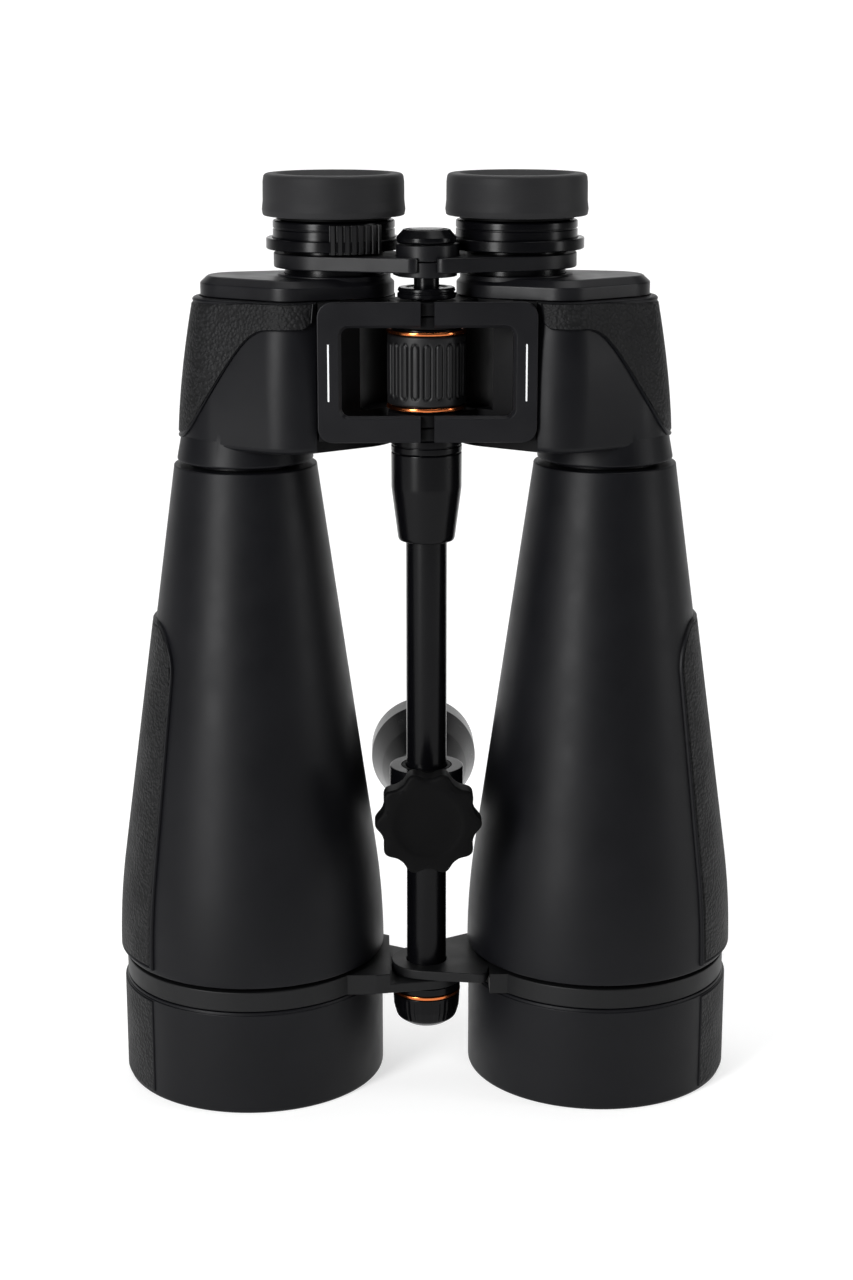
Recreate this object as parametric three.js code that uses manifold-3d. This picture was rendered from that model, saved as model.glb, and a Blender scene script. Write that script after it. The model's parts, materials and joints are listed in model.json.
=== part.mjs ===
// Large porro-prism astronomy binocular with a centre rod and a sliding tripod post.
// Millimetres, +Z up. It stands on its objective hoods: the origin is on the floor, midway
// between the two objective axes, +X is the user's left half and -Y is the side of the hinge.
import * as THREE from 'three';
import { mergeVertices } from 'three/addons/utils/BufferGeometryUtils.js';
import Module from 'manifold-3d';

const wasm = await Module();
wasm.setup();

// ---- Driving dimensions -------------------------------------------------------------------
const objectiveSpacing = 124.4; // between the objective axes
const eyeSpacing = 62; // between the eyepiece axes, as it stands
const eyeOffset = 2; // eyepiece axes behind the objective axes
const hingeOffset = 15; // hinge axis in front of the objective axes
const gap = 0.3; // running and seating clearance between pieces
const roundSides = 20; // sides of a turned piece
const slimSides = 14; // sides of a slim shaft or its bore
const planSides = 24; // sides of the prism housing's outline

const hoodRadius = 46.5;
const hoodHeight = 37.8;
const hoodWall = 4.2;
const hoodRecess = 16; // depth from the hood's rim to the objective cell
const cellWall = 3;
const lensRadius = 41;
const lensThickness = 12;
const doubletEdge = 8;

const bandHeight = 7.2; // bracket band round each barrel
const bandRadius = 46;
const neckRadius = 42.6; // barrel neck inside the band and the hood
const neckWall = 2.2;
const barrelSeam = 1.5; // between the band and the barrel's armour
const barrelRadius = 46.9;
const barrelWall = 2.4;
const barrelLength = 175.2; // from the band to the prism housing
const flareHeight = 36.2; // curved foot of the barrel's cone
const coneTopRadius = 24.6;
const spigotRadius = 18.6;
const spigotWall = 1.8;
const spigotLength = 6.6;
const flankPadThickness = 0.9;
const flankPadHeight = 122;
const flankPadAngle = 92; // degrees of the barrel that the pad wraps

const housingSeam = 2.6; // between the barrel's armour and the housing's
const collarHeight = 6; // round foot of the prism housing
const collarTopRadius = 21.9;
const collarFootRadius = 23.6;
const shoulderRadius = 15.9; // housing round the objective axis, at its top
const shoulderFlare = 6; // how much wider it is at its foot
const bellyRadius = 16.5; // housing round the middle axis
const bellyInset = 3.5; // how much the belly draws in at its top
const eyeEndRadius = 22; // housing round the eyepiece axis
const armourThickness = 1.4;
const gripThickness = 0.8;
const housingWall = 1.8;
const floorThickness = 2.2;
const prismWidth = 21;
const prismBevel = 1; // flat ground on each prism's ridge
const ridgeRoom = 0.6; // between a prism's ridge and the floor or cover
const shelfThickness = 1.8;
const beamRadius = 9.5;
const coverThickness = 6.6;
const coverInset = 1.6;
const coverEdge = 4.2; // upright edge under the bevel
const coverBevel = 2.6;
const coverNeckHeight = 0.4; // raised collar round the eyepiece tube
const coverNeckWall = 2.1;

const axleRadius = 5.5;
const spindleRadius = 4.25;
const spindleStemRadius = 3.1;
const lugRadius = 13;
const lugClearance = 0.5;
const lugFoot = 4; // lower lug above the housing's belly
const wheelRadius = 13.3;
const wheelLength = 27.7;
const gripSleeve = 1.2;
const gripRibs = 20;
const ribHeight = 0.5;
const accentWidth = 1.2;
const accentInset = 0.6;

const plateHalfWidth = 36.5;
const windowHalfWidth = 28.5;
const plateThickness = 2;
const plateSlot = 2.3; // half the slot between the two name plates
const plateCorner = 5;
const plateLip = 0.6; // the plate stands this far above the housing
const windowCorner = 2;

const collarRadius = 9.8;
const hingeCollarHeight = 3.6;
const collarCup = 1.5; // the spindle's shoulder sits this far down in the collar
const bridgeRise = 3.6; // from the hinge collar to the bridge hub
const hubRadius = 10.2;
const hubHeight = 5.1; // of each half of the hub
const armThickness = 4.9;
const armRise = 1.7; // underside of the arms above the hub's underside
const armRingWall = 3.4;
const armSlot = 3.3; // half the slot between the arms, in front of the hub
const capRadius = 10;
const capHeight = 4.9;

const ocularTubeRadius = 16.8;
const ocularWall = 2.3;
const seatStep = 3.9; // the ocular's seat stands out round its tube
const diopterStroke = 1; // the right eyepiece moves this far up and down
const ocularSeatHeight = 9.5;
const guideTubeWall = 3.3;
const guideTubeHeight = 11.6;
const ocularTubeDrop = 7.2; // tube below the underside of the arm
const ringRise = 1.2; // diopter and lock rings above the arm
const ringHeight = 3.8;
const ringWidth = 2;
const diopterGripHeight = 9.6;
const diopterGripRadius = 23.4;
const diopterRibs = 8;
const cupRadius = 24.05;
const cupHeight = 14;
const cupRise = 1.5; // above the ocular's seat
const guideWall = 1.3;

const rodRadius = 7;
const socketRadius = 12;
const socketTipWall = 2.1;
const socketHeight = 30.5;
const socketTaper = 18.3;
const socketRingHeight = 4.8;
const rodInSocket = 16.6;
const endCapRadius = 12;
const endCapHeight = 15.8;
const rodInCap = 8;
const capRingDepth = 2.9; // accent ring below the top of the end cap
const bracketLugRadius = 12.6;
const armFront = 16; // straight front edge of the bracket arms, before the hinge
const armCorner = 3;
const armTail = 12; // back corner of the arms behind the objective axes
const armStep = 22; // the upper arm is half as thick from here to its lug

const postHeight = 106; // tripod post's axis above the floor
const bushWall = 1.3;
const postCollarWall = 4;
const postCollarHeight = 24;
const neckPostRadius = 9.5;
const footRadius = 19.2;
const footThickness = 12;
const postReach = 61.5; // foot's rear face behind the hinge
const insertRadius = 5.5;
const insertBore = 3.2;
const insertLength = 10;
const knobRadius = 18.25;
const knobLobes = 10;
const knobScallop = 1.4;
const knobThickness = 9.5;
const knobStandOff = 22;
const screwRadius = 3.9;

// ---- Places worked out from them ------------------------------------------------------------
const hinge = [0, -hingeOffset];
const objective = [objectiveSpacing / 2, 0];
const eye = [eyeSpacing / 2, eyeOffset];
const across = [objective[0] - eye[0], objective[1] - eye[1]];
const axesApart = Math.hypot(across[0], across[1]);
// Two crossed prisms each shift the beam by the same step, so the middle axis is the corner
// of a right-angled triangle that stands on the other two.
const middle = [
  (objective[0] + eye[0] + across[1]) / 2,
  (objective[1] + eye[1] - across[0]) / 2,
];
const prismStep = axesApart / Math.SQRT2;
// A point at a distance from the hinge axis, on the line to the eyepiece axis.
const hingeToEye = Math.atan2(eye[1] - hinge[1], eye[0] - hinge[0]);
const fromHinge = (distance) => [
  hinge[0] + distance * Math.cos(hingeToEye),
  hinge[1] + distance * Math.sin(hingeToEye),
];
const skinDepth = armourThickness + gap;
const cavityDepth = skinDepth + housingWall;
// The housings hollow round the wheel as far as the lower prism lets them.
const wheelRoom = Math.hypot(eye[0] - hinge[0], eye[1] - hinge[1]) - prismWidth / 2 - 2 * gap - housingWall;

const hoodTop = hoodHeight;
const bandBottom = hoodTop + gap;
const bandTop = bandBottom + bandHeight;
const barrelBottom = bandTop + barrelSeam;
const barrelTop = barrelBottom + barrelLength;
const collarBottom = barrelTop + housingSeam;
const bellyBottom = collarBottom + collarHeight;
const lowerRidge = bellyBottom + floorThickness + ridgeRoom;
const lowerFace = lowerRidge + prismStep;
const shelfBottom = lowerFace + gap;
const shelfTop = shelfBottom + shelfThickness;
const upperFace = shelfTop + gap;
const upperRidge = upperFace + prismStep;
const housingTop = upperRidge + ridgeRoom;
const coverBottom = housingTop + gap;
const coverTop = coverBottom + coverThickness;
const coverNeckTop = coverTop + coverNeckHeight;
const housingHeight = housingTop - bellyBottom;

const lugBottom = bellyBottom + lugFoot;
const lugHeight = (housingTop - lugBottom - wheelLength - 4 * gap) / 4;
const lowerLugs = [lugBottom, lugBottom + lugHeight + gap];
const wheelBottom = lowerLugs[1] + lugHeight + gap;
const wheelTop = wheelBottom + wheelLength;
const upperLugs = [wheelTop + gap, wheelTop + gap + lugHeight + gap];
const plateBottom = lugBottom;
const plateTop = housingTop + plateLip;
const plateFront = hinge[1] - lugRadius - lugClearance - plateThickness;
const plateBack = plateFront + plateThickness;

const collarTop = coverBottom + gap + hingeCollarHeight;
const hubBottom = collarTop + bridgeRise;
const hubSplit = hubBottom + hubHeight;
const hubTop = hubSplit + gap + hubHeight;
const armBottom = hubBottom + armRise;
const armTop = armBottom + armThickness;
const spindleShoulder = collarTop - collarCup;
const ocularBore = ocularTubeRadius - ocularWall;
const eyeLensRadius = ocularBore - gap;
const ocularSeatRadius = ocularTubeRadius + seatStep;
const armRingRadius = ocularTubeRadius + gap + armRingWall;
const guideTubeRadius = ocularBore + guideTubeWall;
const seatBottom = armTop + diopterStroke + gap;
const seatTop = seatBottom + ocularSeatHeight;
const guideTop = seatTop + guideTubeHeight;
const ocularBottom = armBottom - ocularTubeDrop;
const ringBottom = armTop + ringRise;
const cupBottom = seatTop + cupRise;
const cupTop = cupBottom + cupHeight;

const socketTop = lugBottom - gap - socketRingHeight - gap;
const socketBottom = socketTop - socketHeight;
const rodTop = socketBottom + rodInSocket;
const rodBottom = hoodTop - rodInCap;
const bushRadius = rodRadius + gap + bushWall;
const postCollarRadius = bushRadius + gap + postCollarWall;

// ---- Finishes -------------------------------------------------------------------------------
const finishes = {
  armour: { color: 0x1b1c1f, roughness: 0.62, metalness: 0 },
  grip: { color: 0x17181a, roughness: 0.9, metalness: 0 },
  casting: { color: 0x141416, roughness: 0.5, metalness: 0.4 },
  cover: { color: 0x242528, roughness: 0.5, metalness: 0.1 },
  anodised: { color: 0x0b0b0c, roughness: 0.25, metalness: 0.8 },
  bracket: { color: 0x232427, roughness: 0.55, metalness: 0.5 },
  accent: { color: 0xd4673a, roughness: 0.3, metalness: 1 },
  plastic: { color: 0x101011, roughness: 0.6, metalness: 0 },
  rubber: { color: 0x202124, roughness: 0.75, metalness: 0 },
  steel: { color: 0x8c8f92, roughness: 0.3, metalness: 1 },
  brass: { color: 0xb08d4a, roughness: 0.35, metalness: 1 },
  glass: { color: 0x5f7d86, roughness: 0.05, metalness: 0 },
};

// ---- Shape helpers --------------------------------------------------------------------------
// Vertices that coincide are joined, so that a geometry is one closed skin.
function welded(geometry) {
  const bare = geometry.clone();
  bare.deleteAttribute('normal');
  bare.deleteAttribute('uv');
  return mergeVertices(bare, 1e-4);
}

function toSolid(geometry) {
  const skin = welded(geometry);
  return new wasm.Manifold(new wasm.Mesh({
    numProp: 3,
    vertProperties: new Float32Array(skin.attributes.position.array),
    triVerts: new Uint32Array(skin.index.array),
  }));
}

function toGeometry(solid) {
  const mesh = solid.getMesh();
  const geometry = new THREE.BufferGeometry();
  geometry.setAttribute('position', new THREE.BufferAttribute(new Float32Array(mesh.vertProperties), 3));
  geometry.setIndex(new THREE.BufferAttribute(new Uint32Array(mesh.triVerts), 1));
  return geometry;
}

function join(...parts) {
  return toGeometry(parts.map(toSolid).reduce((whole, part) => whole.add(part)));
}

function cut(body, ...tools) {
  return toGeometry(tools.map(toSolid).reduce((left, tool) => left.subtract(tool), toSolid(body)));
}

function common(body, tool) {
  return toGeometry(toSolid(body).intersect(toSolid(tool)));
}

// A profile of [radius, height] points, spun round the Z axis. It runs counter-clockwise seen
// with the axis on the left, and a ring's profile closes on itself.
function spin(points, segments = roundSides) {
  const onAxis = points[0][0] === 0;
  const profile = (onAxis ? points : [...points, points[0]]).map(([r, z]) => new THREE.Vector2(r, z));
  return new THREE.LatheGeometry(profile, segments).rotateX(Math.PI / 2);
}

function rod(radius, low, high, segments = roundSides) {
  return spin([[0, low], [radius, low], [radius, high], [0, high]], segments);
}

function tube(inner, outer, low, high, segments = roundSides) {
  return spin([[inner, low], [outer, low], [outer, high], [inner, high]], segments);
}

function block(xs, ys, zs) {
  return new THREE.BoxGeometry(xs[1] - xs[0], ys[1] - ys[0], zs[1] - zs[0])
    .translate((xs[0] + xs[1]) / 2, (ys[0] + ys[1]) / 2, (zs[0] + zs[1]) / 2);
}

function at(geometry, [x, y]) {
  return geometry.translate(x, y, 0);
}

// Lays a shape that was made along Z so that it runs along -Y at a given height.
function forward(geometry, height) {
  return geometry.rotateX(Math.PI / 2).translate(0, 0, height);
}

function extrude(shape, low, high, curveSegments = 6) {
  return new THREE.ExtrudeGeometry(shape, { depth: high - low, bevelEnabled: false, curveSegments })
    .translate(0, 0, low);
}

// Outline of the smallest convex shape that holds a set of [x, y, radius] circles.
function outline(circles, count = planSides) {
  const points = [];
  for (let i = 0; i < count; i += 1) {
    const angle = (i / count) * 2 * Math.PI;
    const [dx, dy] = [Math.cos(angle), Math.sin(angle)];
    const reach = ([x, y, r]) => x * dx + y * dy + r;
    const [x, y, r] = circles.reduce((best, next) => (reach(next) > reach(best) ? next : best));
    points.push([x + r * dx, y + r * dy]);
  }
  return points;
}

// Skins a stack of outlines that have the same number of points.
function loft(sections) {
  const count = sections[0].points.length;
  const positions = [];
  const faces = [];
  sections.forEach(({ z, points }) => points.forEach(([x, y]) => positions.push(x, y, z)));
  for (let s = 0; s + 1 < sections.length; s += 1) {
    for (let i = 0; i < count; i += 1) {
      const [a, b] = [s * count + i, s * count + ((i + 1) % count)];
      faces.push(a, b, b + count, a, b + count, a + count);
    }
  }
  const last = (sections.length - 1) * count;
  for (let i = 1; i + 1 < count; i += 1) {
    faces.push(0, i + 1, i);
    faces.push(last, last + i, last + i + 1);
  }
  const geometry = new THREE.BufferGeometry();
  geometry.setAttribute('position', new THREE.Float32BufferAttribute(positions, 3));
  geometry.setIndex(faces);
  return geometry;
}

function slab(circles, low, high, count = planSides) {
  const points = outline(circles, count);
  return loft([{ z: low, points }, { z: high, points }]);
}

function roundedRectangle(xs, ys, corner) {
  const shape = new THREE.Shape();
  shape.moveTo(xs[0] + corner, ys[0]);
  shape.lineTo(xs[1] - corner, ys[0]);
  shape.absarc(xs[1] - corner, ys[0] + corner, corner, -Math.PI / 2, 0);
  shape.lineTo(xs[1], ys[1] - corner);
  shape.absarc(xs[1] - corner, ys[1] - corner, corner, 0, Math.PI / 2);
  shape.lineTo(xs[0] + corner, ys[1]);
  shape.absarc(xs[0] + corner, ys[1] - corner, corner, Math.PI / 2, Math.PI);
  shape.lineTo(xs[0], ys[0] + corner);
  shape.absarc(xs[0] + corner, ys[0] + corner, corner, Math.PI, Math.PI * 1.5);
  return shape;
}

// A wedge of a round shell, [inner, outer] radii given for each height, between two angles.
function sector(radiiAt, heights, fromDegrees, toDegrees, steps) {
  const sections = heights.map((z) => {
    const [inner, outer] = radiiAt(z);
    const arc = [...Array(steps + 1).keys()]
      .map((i) => THREE.MathUtils.degToRad(fromDegrees + ((toDegrees - fromDegrees) * i) / steps));
    const ring = arc.map((angle) => [outer * Math.cos(angle), outer * Math.sin(angle)]);
    const back = arc.reverse().map((angle) => [inner * Math.cos(angle), inner * Math.sin(angle)]);
    return { z, points: [...ring, ...back] };
  });
  return cappedStrip(sections, steps);
}

// As loft, but for a curved strip: its ends are closed by quads across the strip.
function cappedStrip(sections, steps) {
  const count = sections[0].points.length;
  const geometry = loft(sections);
  const sides = Array.from(geometry.index.array).slice(0, (sections.length - 1) * count * 6);
  const last = (sections.length - 1) * count;
  for (let i = 0; i < steps; i += 1) {
    const [a, b, c, d] = [i, i + 1, count - 2 - i, count - 1 - i];
    sides.push(a, c, b, a, d, c);
    sides.push(last + a, last + b, last + c, last + a, last + c, last + d);
  }
  geometry.setIndex(sides);
  return geometry;
}

function addMesh(group, name, geometry, finish) {
  const mesh = new THREE.Mesh(geometry, new THREE.MeshStandardMaterial(finishes[finish]));
  mesh.name = name;
  group.add(mesh);
}

// ---- Objective end --------------------------------------------------------------------------
function objectiveHood() {
  const inner = hoodRadius - hoodWall;
  const seat = neckRadius + gap;
  return at(spin([
    [inner, 0.6], [inner + 0.6, 0], [hoodRadius - 0.8, 0], [hoodRadius, 0.8],
    [hoodRadius, hoodTop - 0.5], [hoodRadius - 0.5, hoodTop], [seat + 1.2, hoodTop],
    [seat + 1.2, hoodRecess + 1.5], [inner, hoodRecess + 0.5],
  ]), objective);
}

function objectiveCell() {
  const outer = neckRadius + 1.2;
  const inner = outer - cellWall + 0.6;
  const low = hoodRecess + 1.5 + gap;
  return at(spin([
    [inner - 1.6, low], [outer - 0.4, low], [outer - 0.4, low + 2.6], [outer, low + 2.6],
    [outer, bandBottom - 4.2], [inner, bandBottom - 4.2], [inner, low + 1.8], [inner - 1.6, low + 1.8],
  ]), objective);
}

function objectiveDoublet() {
  const low = hoodRecess + 1.5 + gap + 1.8 + gap;
  const sag = (lensThickness - doubletEdge) / 2;
  return at(spin([
    [0, low - sag], [lensRadius * 0.5, low - sag * 0.75], [lensRadius * 0.95, low],
    [lensRadius, low], [lensRadius, low + doubletEdge], [lensRadius * 0.95, low + doubletEdge],
    [lensRadius * 0.5, low + doubletEdge + sag * 0.75], [0, low + doubletEdge + sag],
  ]), objective);
}

// The barrel is a cone that curves into a straight foot.
const coneFoot = barrelBottom + flareHeight;
const coneSlope = (barrelRadius - coneTopRadius) / (barrelTop - barrelBottom - flareHeight / 2);
const coneFootRadius = coneTopRadius + coneSlope * (barrelTop - coneFoot);
const barrelFoot = new THREE.QuadraticBezierCurve(
  new THREE.Vector2(barrelRadius, barrelBottom),
  new THREE.Vector2(barrelRadius, barrelBottom + flareHeight / 2),
  new THREE.Vector2(coneFootRadius, coneFoot),
);

function barrelSkin(grow) {
  return barrelFoot.getPoints(4).map(({ x, y }) => [x + grow, y]).concat([[coneTopRadius + grow, barrelTop]]);
}

function objectiveBarrel() {
  const inside = barrelSkin(-barrelWall).slice(1, -1).reverse();
  return at(spin([
    [neckRadius - neckWall, bandBottom - 3.6], [neckRadius, bandBottom - 3.6],
    [neckRadius, barrelBottom - 0.2], ...barrelSkin(0), [spigotRadius, barrelTop],
    [spigotRadius, barrelTop + spigotLength], [spigotRadius - spigotWall, barrelTop + spigotLength],
    [spigotRadius - spigotWall, barrelTop - 4], ...inside, [neckRadius - neckWall, barrelBottom + 3],
  ]), objective);
}

// The flank pad is a wedge of a skin that follows the barrel's outside.
function flankPad() {
  const skin = (grow) => spin([[0, barrelBottom], ...barrelSkin(grow), [0, barrelTop]]);
  const low = barrelBottom + 1;
  const wedge = sector(
    () => [barrelRadius / 2, barrelRadius * 1.5],
    [low, low + flankPadHeight],
    -flankPadAngle / 2,
    flankPadAngle / 2,
    4,
  );
  const shell = cut(skin(gap + flankPadThickness), skin(gap));
  return at(common(shell, wedge), objective);
}

// The two bracket arms meet in a half-lap round the rod: one half has the upper lug.
function bracketArm(upper) {
  const middleHeight = bandBottom + bandHeight / 2;
  const [low, high] = upper ? [middleHeight + gap / 2, bandTop] : [bandBottom, middleHeight - gap / 2];
  const front = hinge[1] - armFront;
  const frontCorner = [objective[0] - bandRadius + 2, front + armCorner, armCorner];
  const backCorner = [objective[0] - bandRadius + 10, armTail, armCorner];
  const footprint = [[...hinge, bracketLugRadius], frontCorner, backCorner];
  const shape = new THREE.Shape();
  shape.moveTo(frontCorner[0], front);
  shape.lineTo(objective[0] - 30, front);
  shape.lineTo(objective[0] - 20, armTail + 8);
  shape.lineTo(backCorner[0], armTail + armCorner);
  const arm = cut(
    join(slab(footprint, bandBottom, bandTop), extrude(shape, bandBottom, bandTop)),
    block([-60, upper ? armStep : bracketLugRadius + 2 * gap], [-60, 60], [bandBottom - 1, bandTop + 1]),
  );
  const band = at(rod(bandRadius, bandBottom, bandTop), objective);
  return cut(
    join(band, arm, slab(footprint, low, high)),
    at(rod(neckRadius + gap, bandBottom - 1, bandTop + 1), objective),
    at(rod(rodRadius + gap, bandBottom - 1, bandTop + 1), hinge),
  );
}

// ---- Prism housing --------------------------------------------------------------------------
// Plan of the housing at a height: it wraps the objective, middle and eyepiece axes, and it
// narrows towards the top at the shoulder and the belly.
function housingCircles(z, grow) {
  const up = THREE.MathUtils.clamp((z - bellyBottom) / housingHeight, 0, 1);
  return [
    [...objective, shoulderRadius + shoulderFlare * (1 - up ** 1.6) + grow],
    [...middle, bellyRadius - bellyInset * up ** 3 + grow],
    [...eye, eyeEndRadius + grow],
  ];
}

function housingSolid(grow, low, high) {
  const steps = 3;
  return loft([...Array(steps + 1).keys()].map((i) => {
    const z = low + ((high - low) * i) / steps;
    return { z, points: outline(housingCircles(z, grow)) };
  }));
}

function hingeLugs(upper) {
  const level = upper ? 1 : 0;
  const circles = [[...hinge, lugRadius], [...fromHinge(wheelRoom - 4.5), 5]];
  return [lowerLugs[level], upperLugs[level]].map((low) => slab(circles, low, low + lugHeight));
}

function prismHousing(upper) {
  const collar = at(spin([
    [0, collarBottom], [collarFootRadius - skinDepth, collarBottom],
    [collarTopRadius - skinDepth, bellyBottom + 0.1], [0, bellyBottom + 0.1],
  ]), objective);
  const apron = block(
    [windowHalfWidth + gap, plateHalfWidth - 0.4],
    [plateBack + gap, hinge[1] + 4],
    [plateBottom, housingTop],
  );
  const shell = join(housingSolid(-skinDepth, bellyBottom, housingTop), collar, apron);
  const open = cut(
    shell,
    at(rod(wheelRoom, wheelBottom - gap, wheelTop + gap), hinge),
    cut(
      housingSolid(-cavityDepth, bellyBottom + floorThickness, housingTop + 1),
      at(rod(wheelRoom + housingWall, bellyBottom, housingTop + 2), hinge),
    ),
    at(rod(spigotRadius + gap, collarBottom - 1, bellyBottom + floorThickness + 1), objective),
    at(rod(ocularTubeRadius + 2 * gap, housingTop - 1.2, housingTop + 2), eye),
  );
  const clearLugs = cut(
    open,
    at(rod(lugRadius + 2 * gap, bellyBottom - 1, housingTop + 2), hinge),
  );
  return cut(
    join(clearLugs, ...hingeLugs(upper)),
    at(rod(axleRadius + gap, lugBottom - 1, housingTop + 1), hinge),
  );
}

function housingArmour() {
  const collar = (grow, low, high) => at(spin([
    [0, low], [collarFootRadius + grow, low], [collarTopRadius + grow, high], [0, high],
  ]), objective);
  const outside = join(housingSolid(0, bellyBottom, housingTop), collar(0, collarBottom, bellyBottom + 0.1));
  const inner = gap - skinDepth;
  const inside = join(
    housingSolid(inner, bellyBottom - 0.4, housingTop + 1),
    collar(inner, collarBottom - 0.5, bellyBottom + 0.6),
  );
  return cut(
    outside,
    inside,
    block([-5, plateHalfWidth + gap], [-60, hinge[1] + 4 + gap], [0, housingTop + 5]),
    at(rod(wheelRoom + 4, 0, housingTop + 5), hinge),
  );
}

// The shoulder grip follows the armour's surface above a swept lower edge.
function gripPad() {
  const shell = cut(
    housingSolid(gap + gripThickness, bellyBottom + 0.6, housingTop),
    housingSolid(gap, bellyBottom - 0.4, housingTop + 1),
  );
  const inner = plateHalfWidth + 2.5;
  const outer = objective[0] + shoulderRadius + shoulderFlare + 6;
  const shape = new THREE.Shape();
  shape.moveTo(inner, housingTop + 2);
  shape.lineTo(inner, housingTop - 11);
  shape.lineTo(inner + 9, housingTop - 12.5);
  shape.quadraticCurveTo(inner + 20, housingTop - 14, outer - 8, bellyBottom + 1);
  shape.lineTo(outer, bellyBottom + 1);
  shape.lineTo(outer, housingTop + 2);
  const region = extrude(shape, -60, 60).rotateX(Math.PI / 2);
  return common(shell, region);
}

function namePlate() {
  const outside = roundedRectangle([-plateHalfWidth, plateHalfWidth], [plateBottom, plateTop], plateCorner);
  const window = [wheelBottom - gap, wheelTop + 1.2];
  outside.holes.push(roundedRectangle([-windowHalfWidth, windowHalfWidth], window, windowCorner));
  const whole = extrude(outside, 0, plateThickness, 4).rotateX(Math.PI / 2).translate(0, plateBack, 0);
  return cut(whole, block([-60, plateSlot], [-60, 0], [0, plateTop + 5]));
}

function prismCover() {
  const plate = loft([
    [coverBottom, coverInset],
    [coverBottom + coverEdge, coverInset],
    [coverTop, coverInset + coverBevel],
  ].map(([z, inset]) => ({ z, points: outline(housingCircles(housingTop, -inset)) })));
  const neckRadiusOutside = ocularTubeRadius + 2 * gap + coverNeckWall;
  const neck = at(rod(neckRadiusOutside, coverBottom + 1, coverNeckTop), eye);
  return cut(
    join(plate, neck),
    at(rod(ocularTubeRadius + gap, coverBottom - 1, coverNeckTop + 1), eye),
    at(rod(collarRadius + 2 * gap, coverBottom - 1, coverNeckTop + 1), hinge),
  );
}

// A porro prism: a right-angled roof whose long face carries the beam in and out, with its
// ends rounded to the beam.
function porroPrism(from, to, face, ridge) {
  const direction = Math.atan2(to[1] - from[1], to[0] - from[0]);
  const centre = [(from[0] + to[0]) / 2, (from[1] + to[1]) / 2];
  const towards = Math.sign(ridge - face);
  const profile = new THREE.Shape();
  profile.moveTo(-prismStep, 0);
  profile.lineTo(prismStep, 0);
  profile.lineTo(prismBevel, towards * (prismStep - prismBevel));
  profile.lineTo(-prismBevel, towards * (prismStep - prismBevel));
  const roof = extrude(profile, -prismWidth, prismWidth).rotateX(Math.PI / 2)
    .rotateZ(direction).translate(centre[0], centre[1], face);
  const [low, high] = [Math.min(face, ridge) - 1, Math.max(face, ridge) + 1];
  const half = prismWidth / 2;
  return common(roof, slab([[...from, half], [...to, half]], low, high, roundSides));
}

function prismShelf() {
  const depth = cavityDepth + 2 * gap;
  return cut(
    slab(housingCircles(shelfTop, -depth), shelfBottom, shelfTop),
    at(rod(wheelRoom + housingWall + gap, shelfBottom - 1, shelfTop + 1), hinge),
    ...[objective, middle, eye].map((axis) => (
      at(rod(beamRadius, shelfBottom - 1, shelfTop + 1, slimSides), axis)
    )),
  );
}

// ---- Eyepieces ------------------------------------------------------------------------------
function bridgeArm(upper) {
  const [low, high] = upper ? [hubSplit + gap, hubTop] : [hubBottom, hubSplit];
  const lip = [hinge[0] + 5.5, hinge[1] - hubRadius + 1.7, 3.2];
  const root = [hinge[0] + 2, hinge[1] + 1.5, 4.5];
  const outer = cut(
    join(
      slab([lip, root, [...eye, ocularTubeRadius]], armBottom, armTop),
      at(rod(armRingRadius, armBottom, armTop), eye),
    ),
    at(rod(hubRadius + gap, armBottom - 1, armTop + 1), hinge),
    block([-9, armSlot], [hinge[1] - 20, hinge[1]], [armBottom - 1, armTop + 1]),
  );
  const webLevels = [Math.min(low, armTop - 1), Math.max(high, armTop)];
  const web = cut(
    slab([[...fromHinge(5), hubRadius + 1.2 - 5]], ...webLevels),
    at(rod(hubRadius + gap, 0, low), hinge),
    at(rod(hubRadius + gap, high, hubTop + 9), hinge),
  );
  return cut(
    join(outer, web, at(rod(hubRadius, low, high), hinge)),
    at(rod(spindleRadius + gap, hubBottom - 1, hubTop + 1), hinge),
    at(rod(ocularTubeRadius + gap, armBottom - 1, armTop + 1), eye),
  );
}

function ocularBarrel() {
  return at(spin([
    [ocularBore, ocularBottom], [ocularTubeRadius, ocularBottom], [ocularTubeRadius, seatBottom],
    [ocularSeatRadius, seatBottom], [ocularSeatRadius, seatTop], [guideTubeRadius, seatTop],
    [guideTubeRadius, guideTop], [ocularBore, guideTop],
  ]), eye);
}

function ocularLens(low, thickness) {
  const rim = thickness * 0.3;
  return at(spin([
    [0, low], [eyeLensRadius * 0.6, low + rim * 0.7], [eyeLensRadius, low + rim],
    [eyeLensRadius, low + thickness - rim], [eyeLensRadius * 0.6, low + thickness - rim * 0.7],
    [0, low + thickness],
  ], slimSides + 2), eye);
}

function lockRing() {
  const inner = ocularSeatRadius + gap;
  return at(tube(inner, inner + ringWidth, ringBottom, ringBottom + ringHeight), eye);
}

// The diopter ring carries a ribbed thumb grip in front, on the side of the hinge.
function diopterRing() {
  const inner = ocularSeatRadius + gap;
  const gripBottom = armTop + 2 * gap;
  const gripTop = gripBottom + diopterGripHeight;
  const grip = sector(() => [inner + 0.02, diopterGripRadius - 0.6], [gripBottom, gripTop], -135, -87, 6);
  const pitch = 48 / diopterRibs;
  const ribs = [...Array(diopterRibs).keys()].map((i) => {
    const start = -135 + pitch * (i + 0.2);
    const radii = () => [diopterGripRadius - 1, diopterGripRadius];
    return sector(radii, [gripBottom + 0.3, gripTop - 0.3], start, start + pitch * 0.6, 1);
  });
  return join(lockRing(), ...[grip, ...ribs].map((piece) => at(piece, eye)));
}

function eyecupGuide() {
  const inner = guideTubeRadius + gap;
  return at(tube(inner, inner + guideWall, seatTop + gap, guideTop - 0.6), eye);
}

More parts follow.
